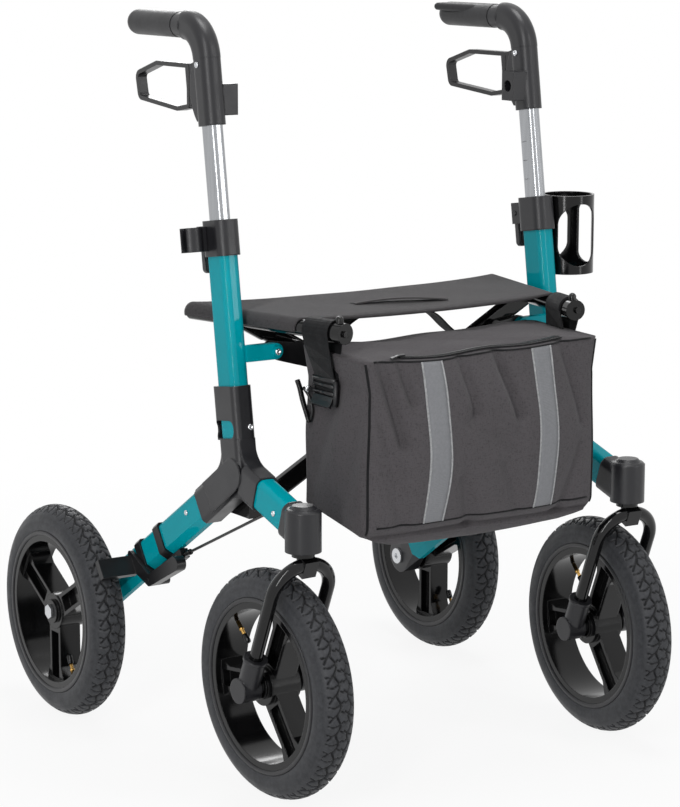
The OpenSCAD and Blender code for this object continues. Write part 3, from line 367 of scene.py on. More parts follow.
def rubber(name, base, rough, gloss, grain):
    m = Nodes(name)
    m.color(m.noise(160, detail=6, rough=0.7), shade(base, 0.72), shade(base, 1.3))
    m.set(Specular_IOR_Level=gloss)
    m.rough(m.noise(55, detail=6), *rough)
    m.bump(m.noise(900), strength=grain, distance=0.0004)
    return m.mat


def groove_shaded_rubber(name, base, rough, gloss, grain):
    """Rubber with painted shade in the grooves, darker by the mesh's groove values."""
    m = Nodes(name)
    groove = m.new("ShaderNodeAttribute")
    groove.attribute_name = "groove"
    # Painted shade: the colour is darkened where the grooves are deep, standing in for the shade inside them.
    painted_shade = m.combine(groove.outputs["Fac"], 0.45, "MULTIPLY")
    tone = m.combine(m.noise(160, detail=6, rough=0.7), painted_shade, "SUBTRACT")
    m.color(tone, shade(base, 0.16), shade(base, 1.3), start=0.0, end=0.7)
    m.set(Specular_IOR_Level=gloss)
    m.rough(m.noise(55, detail=6), *rough)
    m.bump(m.noise(900), strength=grain, distance=0.0004)
    return m.mat


FINISHES = {
    "teal_paint": (paint, dict(
        base=srgb(0, 164, 177), rough=(0.2, 0.28), gloss=0.0, coat=0.3, edge=0.0014, peel=0.02)),
    "black_paint": (paint, dict(
        base=srgb(10, 10, 11), rough=(0.12, 0.18), gloss=0.15, coat=0.4, edge=0.0012, peel=0.02)),
    "satin_metal": (paint, dict(
        base=srgb(24, 24, 26), rough=(0.28, 0.36), gloss=0.4, coat=0.0, edge=0.001, peel=0.06)),
    "satin_plastic": (plastic, dict(
        base=srgb(33, 33, 36), rough=(0.3, 0.4), gloss=0.42, edge=0.0026, grain=0.12)),
    "gloss_plastic": (plastic, dict(
        base=srgb(12, 12, 13), rough=(0.12, 0.18), gloss=0.3, edge=0.0018, grain=0.03)),
    "tyre": (rubber, dict(base=srgb(52, 53, 56), rough=(0.4, 0.55), gloss=0.25, grain=0.2)),
    "steel": (metal, dict(base=srgb(205, 207, 210), rough=(0.18, 0.3), edge=0.0006)),
    "silver_tube": (metal, dict(
        base=srgb(162, 164, 167), rough=(0.2, 0.26), stretch=(10, 10, 0.4), edge=0, grain=0)),
    "grip_rubber": (rubber, dict(base=srgb(38, 38, 40), rough=(0.36, 0.46), gloss=0.35, grain=0.25)),
    "seat_fabric": (cloth, dict(base=srgb(65, 63, 64), weave=260, sheen=0.12, contrast=0.26)),
    "bag_fabric": (cloth, dict(base=srgb(77, 74, 76), weave=260, sheen=0.12, contrast=0.26)),
    "webbing": (webbing, dict(base=srgb(16, 16, 18), weave=320)),
    # Tread rubber with painted shade in its grooves.
    "tread": (groove_shaded_rubber, dict(base=srgb(58, 59, 62), rough=(0.4, 0.55), gloss=0.25, grain=0.2)),
    "stripe": (webbing, dict(base=srgb(134, 135, 138), weave=420, fleck=0.06)),
    "stripe_edge": (webbing, dict(base=srgb(165, 166, 167), weave=420)),
    "eyelet": (metal, dict(base=srgb(120, 121, 124), rough=(0.25, 0.38))),
    "brass": (metal, dict(base=srgb(190, 150, 84), rough=(0.25, 0.38))),
}
MATS = {name: make(name, **look) for name, (make, look) in FINISHES.items()}


def dress_nodes():
    for part in frame["record"]["subparts"]:
        obj = NODES[part["node"]]
        obj.data.materials.clear()
        obj.data.materials.append(MATS[part["material_slot"]])


# Mesh helpers
def new_mesh(name, verts, faces, mat, smooth=True):
    mesh = bpy.data.meshes.new(name)
    mesh.from_pydata([tuple(v) for v in verts], [], [tuple(f) for f in faces])
    mesh.update()
    mesh.materials.append(mat)
    if smooth:
        mesh.polygons.foreach_set("use_smooth", [True] * len(mesh.polygons))
    bm = bmesh.new()
    bm.from_mesh(mesh)
    bmesh.ops.recalc_face_normals(bm, faces=bm.faces)
    bm.to_mesh(mesh)
    bm.free()
    return mesh


def new_object(name, verts, faces, mat, smooth=True):
    return add_object(name, new_mesh(name, verts, faces, mat, smooth))


def grid_faces(rows, cols, wrap_cols=False, wrap_rows=False):
    faces = []
    for i in range(rows if wrap_rows else rows - 1):
        for j in range(cols if wrap_cols else cols - 1):
            a = (i % rows) * cols + j % cols
            b = (i % rows) * cols + (j + 1) % cols
            c = ((i + 1) % rows) * cols + (j + 1) % cols
            d = ((i + 1) % rows) * cols + j % cols
            faces.append((a, b, c, d))
    return faces


def loft_faces(rings, count):
    """Faces of a row of closed rings of count points each, with a cap on both ends."""
    faces = grid_faces(rings, count, wrap_cols=True)
    faces.append(tuple(range(count)))
    faces.append(tuple(reversed(range((rings - 1) * count, rings * count))))
    return faces


def circle(sides):
    """The cosine and sine of equal steps round a circle."""
    angles = [2 * math.pi * j / sides for j in range(sides)]
    return [(math.cos(a), math.sin(a)) for a in angles]


def lathe(name, profile, mat, at, axis, sides):
    """Turns (radius, height) points about an axis through a point, all in millimetres."""
    turn = Vector((0, 0, 1)).rotation_difference(Vector(axis).normalized()).to_matrix()
    verts = []
    for r, h in profile:
        for c, s in circle(sides):
            verts.append((Vector(at) + turn @ Vector((r * c, r * s, h))) * MM)
    return new_object(name, verts, loft_faces(len(profile), sides), mat)


def heading(pts, i):
    """The direction of a path at one of its points."""
    return (pts[min(i + 1, len(pts) - 1)] - pts[max(i - 1, 0)]).normalized()


def tube(name, points, radius, mat, sides=12, flat=1.0):
    """A round or flattened bar along millimetre points, with closed ends."""
    pts = [Vector(p) for p in points]
    side = heading(pts, 0).orthogonal().normalized()
    verts = []
    for i, p in enumerate(pts):
        ahead = heading(pts, i)
        side = (side - ahead * side.dot(ahead)).normalized()
        up = ahead.cross(side)
        for c, s in circle(sides):
            verts.append((p + side * radius * c + up * radius * flat * s) * MM)
    return new_object(name, verts, loft_faces(len(pts), sides), mat)


# The section of a strap, as shares of its width and thickness: the outer face is a little narrower
BAND_SECTION = ((-0.5, -0.5), (-0.47, 0.5), (0.47, 0.5), (0.5, -0.5))


def band(name, path, width_dir, width, thick, mat):
    """A flat strap along millimetre points. Its width lies along one direction, or one for each point."""
    pts = [Vector(p) for p in path]
    wides = width_dir if isinstance(width_dir, list) else [width_dir] * len(pts)
    verts = []
    for i, p in enumerate(pts):
        wide = Vector(wides[i]).normalized()
        out = heading(pts, i).cross(wide).normalized()
        for s, t in BAND_SECTION:
            verts.append((p + wide * width * s + out * thick * t) * MM)
    return new_object(name, verts, loft_faces(len(pts), len(BAND_SECTION)), mat, smooth=False)


def smooth_path(points, steps=6):
    """A Catmull-Rom curve through the points."""
    pts = [Vector(p) for p in points]
    pts = [2 * pts[0] - pts[1]] + pts + [2 * pts[-1] - pts[-2]]
    out = []
    for i in range(1, len(pts) - 2):
        p0, p1, p2, p3 = pts[i - 1:i + 3]
        for k in range(steps):
            t = k / steps
            out.append(0.5 * (2 * p1 + (p2 - p0) * t + (2 * p0 - 5 * p1 + 4 * p2 - p3) * t * t
                              + (3 * p1 - p0 - 3 * p2 + p3) * t ** 3))
    out.append(pts[-2])
    return out


# Tyres with their tread, in millimetres along the tread and across it from its middle
TREAD_BLOCKS, TREAD_HALF = 36, 22.5
GROOVE_AT, GROOVE_SWAY, GROOVE_EXTRA = 7.4, 2.4, 0.35
# The last value is the groove depth at which the painted shade in the grooves is fullest.
GROOVE_HALF, GROOVE_SLOPE, GROOVE_DEPTH, GROOVE_SHADE_FULL = 1.35, 0.75, 2.6, 2.0
SLITS = (
    ((3, 9.5), (8, 14.5)), ((8, 14.5), (6.5, 21)), ((8, 14.5), (14.5, 19.5)), ((17, 6), (20.5, 13)),
    ((20.5, 13), (19.5, 20.5)), ((12, 0), (15, 4.2)), ((2.5, 0), (0.5, 4.5)),
)
# The section's angles in degrees, and the lines on the side walls: angle, width and depth
SHOULDER, BEAD, BEAD_R = 58, 138, 103.2
WALL_LINES = ((66, 2.0, 0.9), (104, 3.0, -0.7), (84, 1.6, 0.5))
TYRE_STEPS, TREAD_STEPS, WALL_STEPS = 720, 57, 14


def segment_gap(p, q, a, b):
    """Distance of points p, q from the segment a to b."""
    ax, ay = a
    dx, dy = b[0] - ax, b[1] - ay
    t = np.clip(((p - ax) * dx + (q - ay) * dy) / (dx * dx + dy * dy), 0, 1)
    return np.hypot(p - ax - t * dx, q - ay - t * dy)


def tread_depth(run, across):
    """Depth of the grooves: a wavy groove on each side and slits that fork toward the shoulder."""
    pitch = 2 * math.pi * WHEEL_R / TREAD_BLOCKS
    side = np.abs(across)
    q = np.mod(run + np.where(across > 0, pitch / 2, 0), pitch)
    wave = GROOVE_AT + GROOVE_SWAY * np.sin(2 * math.pi * q / pitch)
    gap = np.abs(side - wave) - GROOVE_EXTRA
    for a, b in SLITS:
        for move in (-pitch, 0, pitch):
            gap = np.minimum(gap, segment_gap(q, side, (a[0] + move, a[1]), (b[0] + move, b[1])))
    cut = np.clip((GROOVE_HALF - gap) / GROOVE_SLOPE, 0, 1)
    return GROOVE_DEPTH * cut * cut * (3 - 2 * cut) * (side < TREAD_HALF)


def tyre_mesh():
    """A tyre about X at the origin, with the depth of its grooves as an attribute, from which the material
    paints shade into them.
    """
    wall = np.radians(np.linspace(SHOULDER, BEAD, WALL_STEPS)[1:])
    tread = np.radians(np.linspace(-SHOULDER, SHOULDER, TREAD_STEPS))
    section = np.concatenate([-wall[::-1], tread, wall])
    around = np.linspace(0, 2 * math.pi, TYRE_STEPS, endpoint=False)
    uu, vv = np.meshgrid(around, section, indexing="ij")
    depth = tread_depth(uu * WHEEL_R, vv * TYRE_R)
    angle = np.degrees(np.abs(vv))
    for place, width, deep in WALL_LINES:
        depth += deep * np.exp(-((angle - place) / width) ** 2)
    r = TYRE_R - depth
    radial = np.maximum(WHEEL_R - TYRE_R + r * np.cos(vv), BEAD_R)
    verts = np.stack([r * np.sin(vv), radial * np.cos(uu), radial * np.sin(uu)], -1).reshape(-1, 3) * MM
    faces = grid_faces(TYRE_STEPS, len(section), wrap_rows=True)
    mesh = new_mesh("tyre_tread", verts.tolist(), faces, MATS["tread"])
    # Groove values for the painted shade in the grooves and in the side-wall lines.
    groove = mesh.attributes.new("groove", "FLOAT", "POINT")
    groove.data.foreach_set("value", np.clip(depth / GROOVE_SHADE_FULL, 0, 1).reshape(-1))
    return mesh


# Rim rings and valves, as (radius, height) profiles
RIM_LIP = [(108.9, 23.4), (109.2, 24.3), (107.6, 24.9), (104.2, 24.9), (103.0, 24.2), (102.6, 23.4)]
RIM_STEPS = 120
VALVE_STEM = [(2.6, 0), (2.6, 10), (3.2, 10.5), (3.2, 13), (2.2, 13.5), (2.2, 24), (1.6, 25)]
VALVE_CAP = [(3.4, 20), (3.9, 21), (3.9, 30), (3.0, 32), (0.4, 32.4)]
VALVE_ANGLE = {"rear": math.radians(205), "front": math.radians(47)}
VALVE_FOOT, VALVE_OUT = 94, 8


def wheel_place(side, end):
    k = SIDES[side]
    if end == "rear":
        return Matrix.Translation(Vector((k * REAR_X, REAR_Y, WHEEL_R)) * MM)
    turn = -TOE * k
    x = k * CASTER_X - TRAIL * math.sin(turn)
    y = CASTER_Y + TRAIL * math.cos(turn)
    return Matrix.Translation(Vector((x, y, WHEEL_R)) * MM) @ Matrix.Rotation(turn, 4, "Z")


def rim_ring(name, face):
    """A satin ring on the edge of a rim, turned about X."""
    verts = []
    for r, h in RIM_LIP:
        for c, s in circle(RIM_STEPS):
            verts.append(Vector((face * h, r * c, r * s)) * MM)
    faces = grid_faces(len(RIM_LIP), RIM_STEPS, wrap_cols=True, wrap_rows=True)
    return new_object(name, verts, faces, MATS["satin_plastic"])


def valve(side, end):
    angle = VALVE_ANGLE[end]
    out = Vector((0, math.sin(angle), math.cos(angle)))
    foot = out * VALVE_FOOT + Vector((VALVE_OUT * SIDES[side], 0, 0))
    stem = lathe(f"{side}_{end}_valve", VALVE_STEM, MATS["brass"], foot, -out, sides=16)
    cap = lathe(f"{side}_{end}_valve_cap", VALVE_CAP, MATS["gloss_plastic"], foot, -out, sides=16)
    return [stem, cap]


def add_wheels():
    mesh = tyre_mesh()
    for side, k in SIDES.items():
        for end in ("rear", "front"):
            tyre = add_object(f"{side}_{end}_tread", mesh)
            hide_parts(f"{side}_{end}_tyre")
            pieces = [tyre] + valve(side, end)
            for face in (-1, 1):
                label = "out" if face == k else "in"
                pieces.append(rim_ring(f"{side}_{end}_rim_ring_{label}", face))
            for piece in pieces:
                piece.matrix_world = wheel_place(side, end)
                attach(piece, f"{side}_{end}_wheel")


# Screws: place on the left side, direction out of the surface, radius and body
SCREWS = {
    "leg_screw": ((256.2, -23, 316), (1, 0, 0), 3.6, "frame"),
    "front_screw": ((255, -229, 354.5), (1, 0, 0), 3.6, "frame"),
    "bracket_screw": ((191, -138.4, 532.5), (0, -1, 0), 4.2, "frame"),
    "joint_screw": ((236, -145.6, 444.5), (0, -1, 0.144), 3.8, "frame"),
    "lever_screw": ((256, -58.5, 880), (1, 0, 0), 4.0, "handle"),
    "lever_screw_in": ((228, -58.5, 880), (-1, 0, 0), 4.0, "handle"),
}
# A low domed head with a round socket: shares of its radius and heights, and the socket's middle
SCREW_HEAD = ((1, -0.5), (1, 0.9), (0.92, 1.5), (0.7, 2.0), (0.52, 2.15), (0.5, 0.8))
SCREW_SOCKET = (0.2, 0.7)


def add_screws():
    for side, k in SIDES.items():
        for label, (at, axis, radius, body) in SCREWS.items():
            profile = [(radius * share, height) for share, height in SCREW_HEAD] + [SCREW_SOCKET]
            place = (k * at[0], at[1], at[2])
            out = (k * axis[0], axis[1], axis[2])
            head = lathe(f"{side}_{label}", profile, MATS["steel"], place, out, sides=24)
            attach(head, f"{side}_{body}")


# Height marks
MARK_COUNT, MARK_LOW, MARK_STEP = 3, 716, 24.4
MARK_HALF, MARK_WIDE, MARK_THICK = 4.5, 1.4, 0.3
MARK_IN, MARK_BACK, MARK_RISE, MARK_FALL = 9.55, 2.5, 0.6, 0.7


def add_height_marks():
    """Pale lines on the inner faces of the telescopic tubes."""
    for side, k in SIDES.items():
        for i in range(MARK_COUNT):
            z = MARK_LOW + MARK_STEP * i
            y = COLUMN.y + (z - COLUMN.z) * math.tan(LEAN) + MARK_BACK
            x = k * (COLUMN.x - MARK_IN)
            line = [(x, y - MARK_HALF, z + MARK_RISE), (x, y + MARK_HALF, z - MARK_FALL)]
            along = (0, math.sin(LEAN), math.cos(LEAN))
            mark = band(f"{side}_height_mark_{i}", line, along, MARK_WIDE, MARK_THICK, MATS["stripe_edge"])
            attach(mark, f"{side}_handle")


# Sling seat, which wraps round the seat tubes
SLING_FRONT, SLING_REAR = -192.0, -4.0
SLING_OUT_R, SLING_IN_R, SLING_CLOTH = 12.4, 10.3, 2.1
SLING_ROWS, SLING_COLS = 44, 72
SLING_SAG, SLING_RIPPLE, SLING_THICKENS = 5.0, 0.5, 30.0
WRAP_LOW, WRAP_HIGH = -20, 90
HEM_THICK, HEM_MORE, HEM_DROP, HEM_ROWS = 2.4, 4.2, 2.2, 3.0
SLOT_HALF, SLOT_Y, SLOT_SLANT, SLOT_STEPS = 58, -118.0, 0.32, 32
LIP_FORWARD, LIP_LIFT, LIP_RISE, LIP_WIDE, LIP_THICK = 7.0, 0.6, 4.6, 17, 1.8
# The SLIT values place and size the black band that paints the shade in the slit.
SLIT_BULGE, SLIT_LIFT, SLIT_WIDE, SLIT_THICK = 5.0, 0.5, 9, 0.6


def seat_x(y):
    """Half the distance between the seat tubes."""
    return SEAT_HALF + (y - BAR_Y) * math.tan(SPLAY)


def sling_top(x, y):
    """Height of the sling, which sags between the tubes."""
    u = min(1.0, abs(x) / seat_x(y))
    t = (y - SLING_FRONT) / (SLING_REAR - SLING_FRONT)
    sag = SLING_SAG * (1 - u * u) * (0.85 + 0.15 * math.cos(math.pi * (t - 0.5)))
    ripple = SLING_RIPPLE * math.sin(x * 0.045 + 1.3) * math.sin(y * 0.05) * (1 - u ** 4)
    return SEAT_Z + SLING_OUT_R - sag + ripple


def sling_section(t):
    """The closed outline of the sling at a share of its depth, thinner at the front and rear hems."""
    y = SLING_FRONT + (SLING_REAR - SLING_FRONT) * t
    half = seat_x(y)
    full = math.sqrt(min(1.0, min(t, 1 - t) * SLING_ROWS / HEM_ROWS))
    thick = HEM_THICK + HEM_MORE * full
    drop = -HEM_DROP * (1 - full)
    upper, lower = [], []
    for degrees in range(WRAP_LOW, WRAP_HIGH + 1, 10):
        a = math.radians(degrees)
        upper.append((half + SLING_OUT_R * math.cos(a), SEAT_Z + SLING_OUT_R * math.sin(a)))
        lower.append((half + SLING_IN_R * math.cos(a), SEAT_Z + SLING_IN_R * math.sin(a)))
    outer, inner = list(upper), list(lower)
    for j in range(1, SLING_COLS):
        x = half * (1 - 2 * j / SLING_COLS)
        z = sling_top(x, y) + drop * (1 - (x / half) ** 6)
        outer.append((x, z))
        share = min(1.0, (half - abs(x)) / SLING_THICKENS)
        inner.append((x, z - SLING_CLOTH - (thick - SLING_CLOTH) * share))
    outer += [(-x, z) for x, z in reversed(upper)]
    inner += [(-x, z) for x, z in reversed(lower)]
    return [Vector((x, y, z)) * MM for x, z in outer + inner[::-1]]


def sling_cover():
    sections = [sling_section(i / SLING_ROWS) for i in range(SLING_ROWS + 1)]
    verts = [point for section in sections for point in section]
    count = len(sections[0])
    faces = grid_faces(len(sections), count, wrap_cols=True)
    last = SLING_ROWS * count
    for j in range(count // 2 - 1):
        faces.append((j, j + 1, count - 2 - j, count - 1 - j))
        faces.append((last + j, last + count - 1 - j, last + count - 2 - j, last + j + 1))
    return new_object("seat_cover", verts, faces, MATS["seat_fabric"])


def grip_slot():
    """A grip slot near the middle: a raised lip of cloth over a black band that paints the shade inside the
    slit.
    """
    lip, slit = [], []
    for i in range(SLOT_STEPS + 1):
        u = i / SLOT_STEPS
        x = -SLOT_HALF + 2 * SLOT_HALF * u
        y = SLOT_Y - SLOT_SLANT * x
        rise = math.sin(math.pi * u)
        lip.append((x, y - LIP_FORWARD, sling_top(x, y) + LIP_LIFT + LIP_RISE * rise ** 0.8))
        slit.append((x, y + SLIT_BULGE * rise, sling_top(x, y) + SLIT_LIFT))
    flap = band("seat_slot_lip", lip, (0.3, 1, -0.12), LIP_WIDE, LIP_THICK, MATS["seat_fabric"])
    # Painted shade: a thin black band laid on the cloth stands in for the shade inside the slit.
    painted_shade = band("seat_slot", slit, (0.3, 1, 0), SLIT_WIDE, SLIT_THICK, MATS["webbing"])
    return [flap, painted_shade]


def add_sling():
    sling = sling_cover()
    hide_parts("seat_sling")
    for piece in [sling] + grip_slot():
        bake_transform(piece)


# Lift strap: x and z of one half from its end to its middle
LIFT_HALF, LIFT_MIDDLE = [(104, 523), (88, 535), (66, 554), (40, 564)], (0, 566)
LIFT_WIDE, LIFT_THICK = 26, 2.0


def add_lift_strap():
    line = [(-x, z) for x, z in LIFT_HALF] + [LIFT_MIDDLE] + LIFT_HALF[::-1]
    path = smooth_path([(x, BAR_Y, z) for x, z in line])
    strap = band("lift_webbing", path, (0, 1, 0), LIFT_WIDE, LIFT_THICK, MATS["webbing"])
    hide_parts("lift_strap")
    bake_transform(strap)


# Bag: its box, the rise of its floor and lid to the back, and the share of its height at the low seam
BAG_HALF, BAG_LOW, BAG_HIGH = 170.0, 326.0, 541.0
BAG_BACK, BAG_FRONT, BAG_CORNER = -166.0, -306.0, 12.0
BAG_MID, BAG_DEPTH = (BAG_BACK + BAG_FRONT) / 2, (BAG_BACK - BAG_FRONT) / 2
FLOOR_RISE, LID_RISE, LOW_SEAM = 24.0, 4.0, 0.06
SWELL, FRONT_WAVE, FLOOR_BELLY, LID_BELLY, LID_RIPPLE = 27.0, 2.2, 30.0, 5.0, 1.6
SIDE_PUFF, SIDE_RIPPLE, SEAM_TUCK = 2.6, 3.6, 9.0
TOP_DRAWN_IN, LOW_DRAWN_OUT, UPPER_PART = 8.0, 4.0, 0.8
RING_STEPS, WALL_ROWS = 320, 48
# How far the ring is drawn in at each row of the bottom and of the lid, and the heights below the low seam
BOTTOM_RINGS = (0.06, 0.2, 0.4, 0.6, 0.78, 0.9, 0.965)
LID_RINGS = (0.985, 0.95, 0.88, 0.76, 0.6, 0.42, 0.22, 0.06)
LOW_HEIGHTS = [0.0, 0.02, 0.04]
# Sags of the upper seam: depth, middle and reach
TOP_SAGS = ((6.0, -70, 70), (3.0, 60, 50))
# Creases of the front: x and z of both ends, width and depth, and what all widths and depths are scaled by
FOLDS = (
    ((-152, 541), (-126, 440), 11, 9.0), ((-128, 541), (-112, 490), 8, 5.0),
    ((-160, 480), (-130, 400), 12, 5.0), ((-40, 541), (-24, 470), 11, 5.5),
    ((14, 541), (40, 460), 12, 6.5), ((116, 541), (146, 440), 12, 6.0),
    ((-20, 330), (-44, 392), 16, 4.4), ((116, 330), (142, 410), 16, 4.6),
    ((-150, 420), (-124, 342), 16, 4.4), ((-30, 460), (30, 430), 20, 3.0),
    ((20, 400), (44, 350), 16, 3.4),
)
FOLD_WIDTH, FOLD_DEPTH = 0.65, 1.9
FADE_Z, FADE_SHARE = 515, 0.45


def crown(x, z, fold=1.0):
    """How far the front swells forward at a place, less its creases, which fade toward the upper seam."""
    u = min(1.0, abs(x) / BAG_HALF)
    t = min(1.0, max(0.0, (z - BAG_LOW) / (BAG_HIGH - BAG_LOW)))
    swell = SWELL * (1 - u ** 3.0) * math.sin(math.pi * min(1.0, 0.02 + t ** 0.9 * 0.95)) ** 0.85
    crease = 0.0
    for a, b, width, deep in FOLDS:
        d = float(segment_gap(np.float64(x), np.float64(z), a, b)) / (FOLD_WIDTH * width)
        crease += FOLD_DEPTH * deep * math.exp(-d * d)
    crease *= fold * (1 - FADE_SHARE * max(0.0, (z - FADE_Z) / (BAG_HIGH - FADE_Z)))
    wave = FRONT_WAVE * math.sin(x * 0.03 + z * 0.017) * math.sin(z * 0.04 + 0.6) * (1 - u ** 4)
    return swell - crease * (1 - u ** 6) + wave


def bag_top(x):
    """Height of the upper seam, which sags between the corners."""
    return BAG_HIGH - sum(deep * math.exp(-((x - middle) / reach) ** 2) for deep, middle, reach in TOP_SAGS)


def toward_back(y):
    """0 at the front of the bag and 1 at its back."""
    return (y - BAG_FRONT) / (BAG_BACK - BAG_FRONT)


def bag_floor(y):
    return BAG_LOW + FLOOR_RISE * toward_back(y)


def to_edge(x, y):
    """0 in the middle of the bag's plan and 1 at its edge."""
    return max(abs(x) / BAG_HALF, abs(y - BAG_MID) / BAG_DEPTH)


def bag_bottom(x, y, s):
    """A point of the bottom panel, with the ring drawn in by s."""
    px, py = x * s, BAG_MID + y * s
    belly = FLOOR_BELLY * (1 - to_edge(px, py) ** 4) * (1 - 0.25 * (px / BAG_HALF) ** 2)
    pz = bag_floor(py) - belly
    if y < 0:
        py -= 0.25 * crown(px, BAG_LOW) * s
    return Vector((px, py, pz))


def bag_wall(x, y, t):
    """A point of the sides: x and y are its place in the ring, t goes from the floor to the upper seam."""
    z0 = BAG_LOW + (BAG_HIGH - BAG_LOW) * t
    front = max(0.0, -y / BAG_DEPTH) ** 6
    side = (abs(x) / BAG_HALF) ** 8
    above = max(0.0, t - UPPER_PART) / (1 - UPPER_PART)
    py = BAG_MID + y
    pz = bag_floor(py) + (bag_top(x) - bag_floor(py)) * t
    py -= crown(x, z0) * front
    py += SEAM_TUCK * max(0.0, 1 - t / LOW_SEAM) ** 2 * front
    puff = SIDE_PUFF * math.sin(math.pi * t) * (1 - (y / BAG_DEPTH) ** 4)
    puff += LOW_DRAWN_OUT * (1 - t) - TOP_DRAWN_IN * above
    puff += SIDE_RIPPLE * math.sin(y * 0.09 + z0 * 0.035) * math.sin(math.pi * t) * (1 - (y / BAG_DEPTH) ** 6)
    pz += LID_RISE * toward_back(py) * above
    return Vector((x + math.copysign(puff * side, x), py, pz))


def bag_lid(x, y, s):
    """A point of the top panel, with the ring drawn in by s."""
    px, py = x * s, BAG_MID + y * s
    edge = to_edge(px, py)
    ripple = LID_RIPPLE * math.sin(px * 0.05 + py * 0.06) * (1 - edge ** 2)
    pz = bag_top(px) + LID_BELLY * (1 - edge ** 3) + ripple
    pz += LID_RISE * toward_back(py)
    if y < 0:
        py -= crown(px, BAG_HIGH, fold=s ** 8) * s
    px -= math.copysign(TOP_DRAWN_IN * (abs(x) / BAG_HALF) ** 8 * s, x)
    return Vector((px, py, pz))


def bag_ring():
    """Places at equal steps round the bag's rounded plan, from its middle, starting at the front right."""
    w, d, r = BAG_HALF - BAG_CORNER, BAG_DEPTH - BAG_CORNER, BAG_CORNER
    arc = math.pi * r / 2
    # Each side: the centre of the corner where it starts and ends, its length and its direction
    sides = (
        ((-w, -d), (w, -d), 2 * w, (1, 0)),
        ((w, -d), (w, d), 2 * d, (0, 1)),
        ((w, d), (-w, d), 2 * w, (-1, 0)),
        ((-w, d), (-w, -d), 2 * d, (0, -1)),
    )
    total = 4 * (w + d + arc)
    ring = []
    for i in range(RING_STEPS):
        run = total * i / RING_STEPS
        for start, end, length, (dx, dy) in sides:
            if run <= length + arc:
                break
            run -= length + arc
        if run <= length:
            ring.append((start[0] + dx * run + dy * r, start[1] + dy * run - dx * r))
        else:
            ahead, out = r * math.sin((run - length) / r), r * math.cos((run - length) / r)
            ring.append((end[0] + dx * ahead + dy * out, end[1] + dy * ahead - dx * out))
    return ring


def bag_body():
    ring = bag_ring()
    heights = LOW_HEIGHTS + [LOW_SEAM + (1 - LOW_SEAM) * i / WALL_ROWS for i in range(WALL_ROWS + 1)]
    rows = [[bag_bottom(x, y, s) for x, y in ring] for s in BOTTOM_RINGS]
    rows += [[bag_wall(x, y, t) for x, y in ring] for t in heights]
    rows += [[bag_lid(x, y, s) for x, y in ring] for s in LID_RINGS]
    verts = [point * MM for row in rows for point in row]
    return new_object("bag_body", verts, loft_faces(len(rows), len(ring)), MATS["bag_fabric"])


# Reflective stripes with pale edges: place across, width, material and how far they stand out
STRIPE_X, STRIPE_ROWS, STRIPE_COLS, STRIPE_INTO = 82, 44, 5, 0.6
STRIPE_TOP = 0.997
STRIPE_PARTS = {
    "stripe": (0, 30, "stripe", 0.7),
    "stripe_edge_a": (-14.2, 2.2, "stripe_edge", 1.1),
    "stripe_edge_b": (14.2, 2.2, "stripe_edge", 1.1),
}


def bag_stripe(name, middle, width, mat, proud):
    """A thin strip that follows the front of the bag from the low seam to the top."""
    xs = [middle + width * (j / (STRIPE_COLS - 1) - 0.5) for j in range(STRIPE_COLS)]
    verts = []
    for i in range(STRIPE_ROWS + 1):
        t = LOW_SEAM + (STRIPE_TOP - LOW_SEAM) * i / STRIPE_ROWS
        outer = [bag_wall(x, -BAG_DEPTH, t) - Vector((0, proud, 0)) for x in xs]
        inner = [bag_wall(x, -BAG_DEPTH, t) + Vector((0, STRIPE_INTO, 0)) for x in xs]
        verts += [point * MM for point in outer + inner[::-1]]
    return new_object(name, verts, loft_faces(STRIPE_ROWS + 1, 2 * STRIPE_COLS), mat)


def bag_stripes():
    pieces = []
    for side, k in SIDES.items():
        for label, (off, width, mat, proud) in STRIPE_PARTS.items():
            middle = k * STRIPE_X + off
            pieces.append(bag_stripe(f"bag_{label}_{side}", middle, width, MATS[mat], proud))
    return pieces


# Piping along the front seams and a zip on the top panel
PIPING_HALF, PIPING_R, PIPING_INTO, SIDE_PIPING_R = 158, 1.4, 0.4, 1.7
ZIP_HALF, ZIP_RING, ZIP_THICK = 156, 0.8, 1.2
ZIP_PARTS = {"tape": (16, 0.5, "webbing"), "teeth": (4.5, 1.3, "satin_metal")}
SEAM_STEPS = 60
# The zip's pull tab: which step of the zip it sits at, and its points from there
PULL_STEP, PULL_WIDE, PULL_THICK = 3, 7, 1.6
PULL_PATH = ((0, 0, 3.0), (-12, -4, 3.6), (-26, -9, 2.0))


def bag_piping():
    pieces = []
    for label, t in (("top", 1.0), ("low", LOW_SEAM)):
        xs = np.linspace(-PIPING_HALF, PIPING_HALF, SEAM_STEPS)
        seam = [bag_wall(x, -BAG_DEPTH, t) + Vector((0, PIPING_INTO, 0)) for x in xs]
        pieces.append(tube(f"bag_{label}_piping", seam, PIPING_R, MATS["webbing"], sides=8))
    corner = BAG_CORNER * (1 - math.sqrt(0.5))
    for side, k in SIDES.items():
        heights = np.linspace(0.02, 0.99, SEAM_STEPS)
        seam = [bag_wall(k * (BAG_HALF - corner), corner - BAG_DEPTH, t) for t in heights]
        pieces.append(tube(f"bag_side_piping_{side}", seam, SIDE_PIPING_R, MATS["webbing"], sides=8))
    return pieces


def bag_zip():
    line = [bag_lid(x, -BAG_DEPTH, ZIP_RING) for x in np.linspace(-ZIP_HALF, ZIP_HALF, SEAM_STEPS)]
    pieces = []
    for label, (width, lift, mat) in ZIP_PARTS.items():
        path = [point + Vector((0, 0, lift)) for point in line]
        pieces.append(band(f"bag_zip_{label}", path, (0, 1, 0), width, ZIP_THICK, MATS[mat]))
    path = [line[PULL_STEP] + Vector(point) for point in PULL_PATH]
    pieces.append(band("bag_zip_pull", path, (0.3, 1, 0), PULL_WIDE, PULL_THICK, MATS["satin_metal"]))
    return pieces


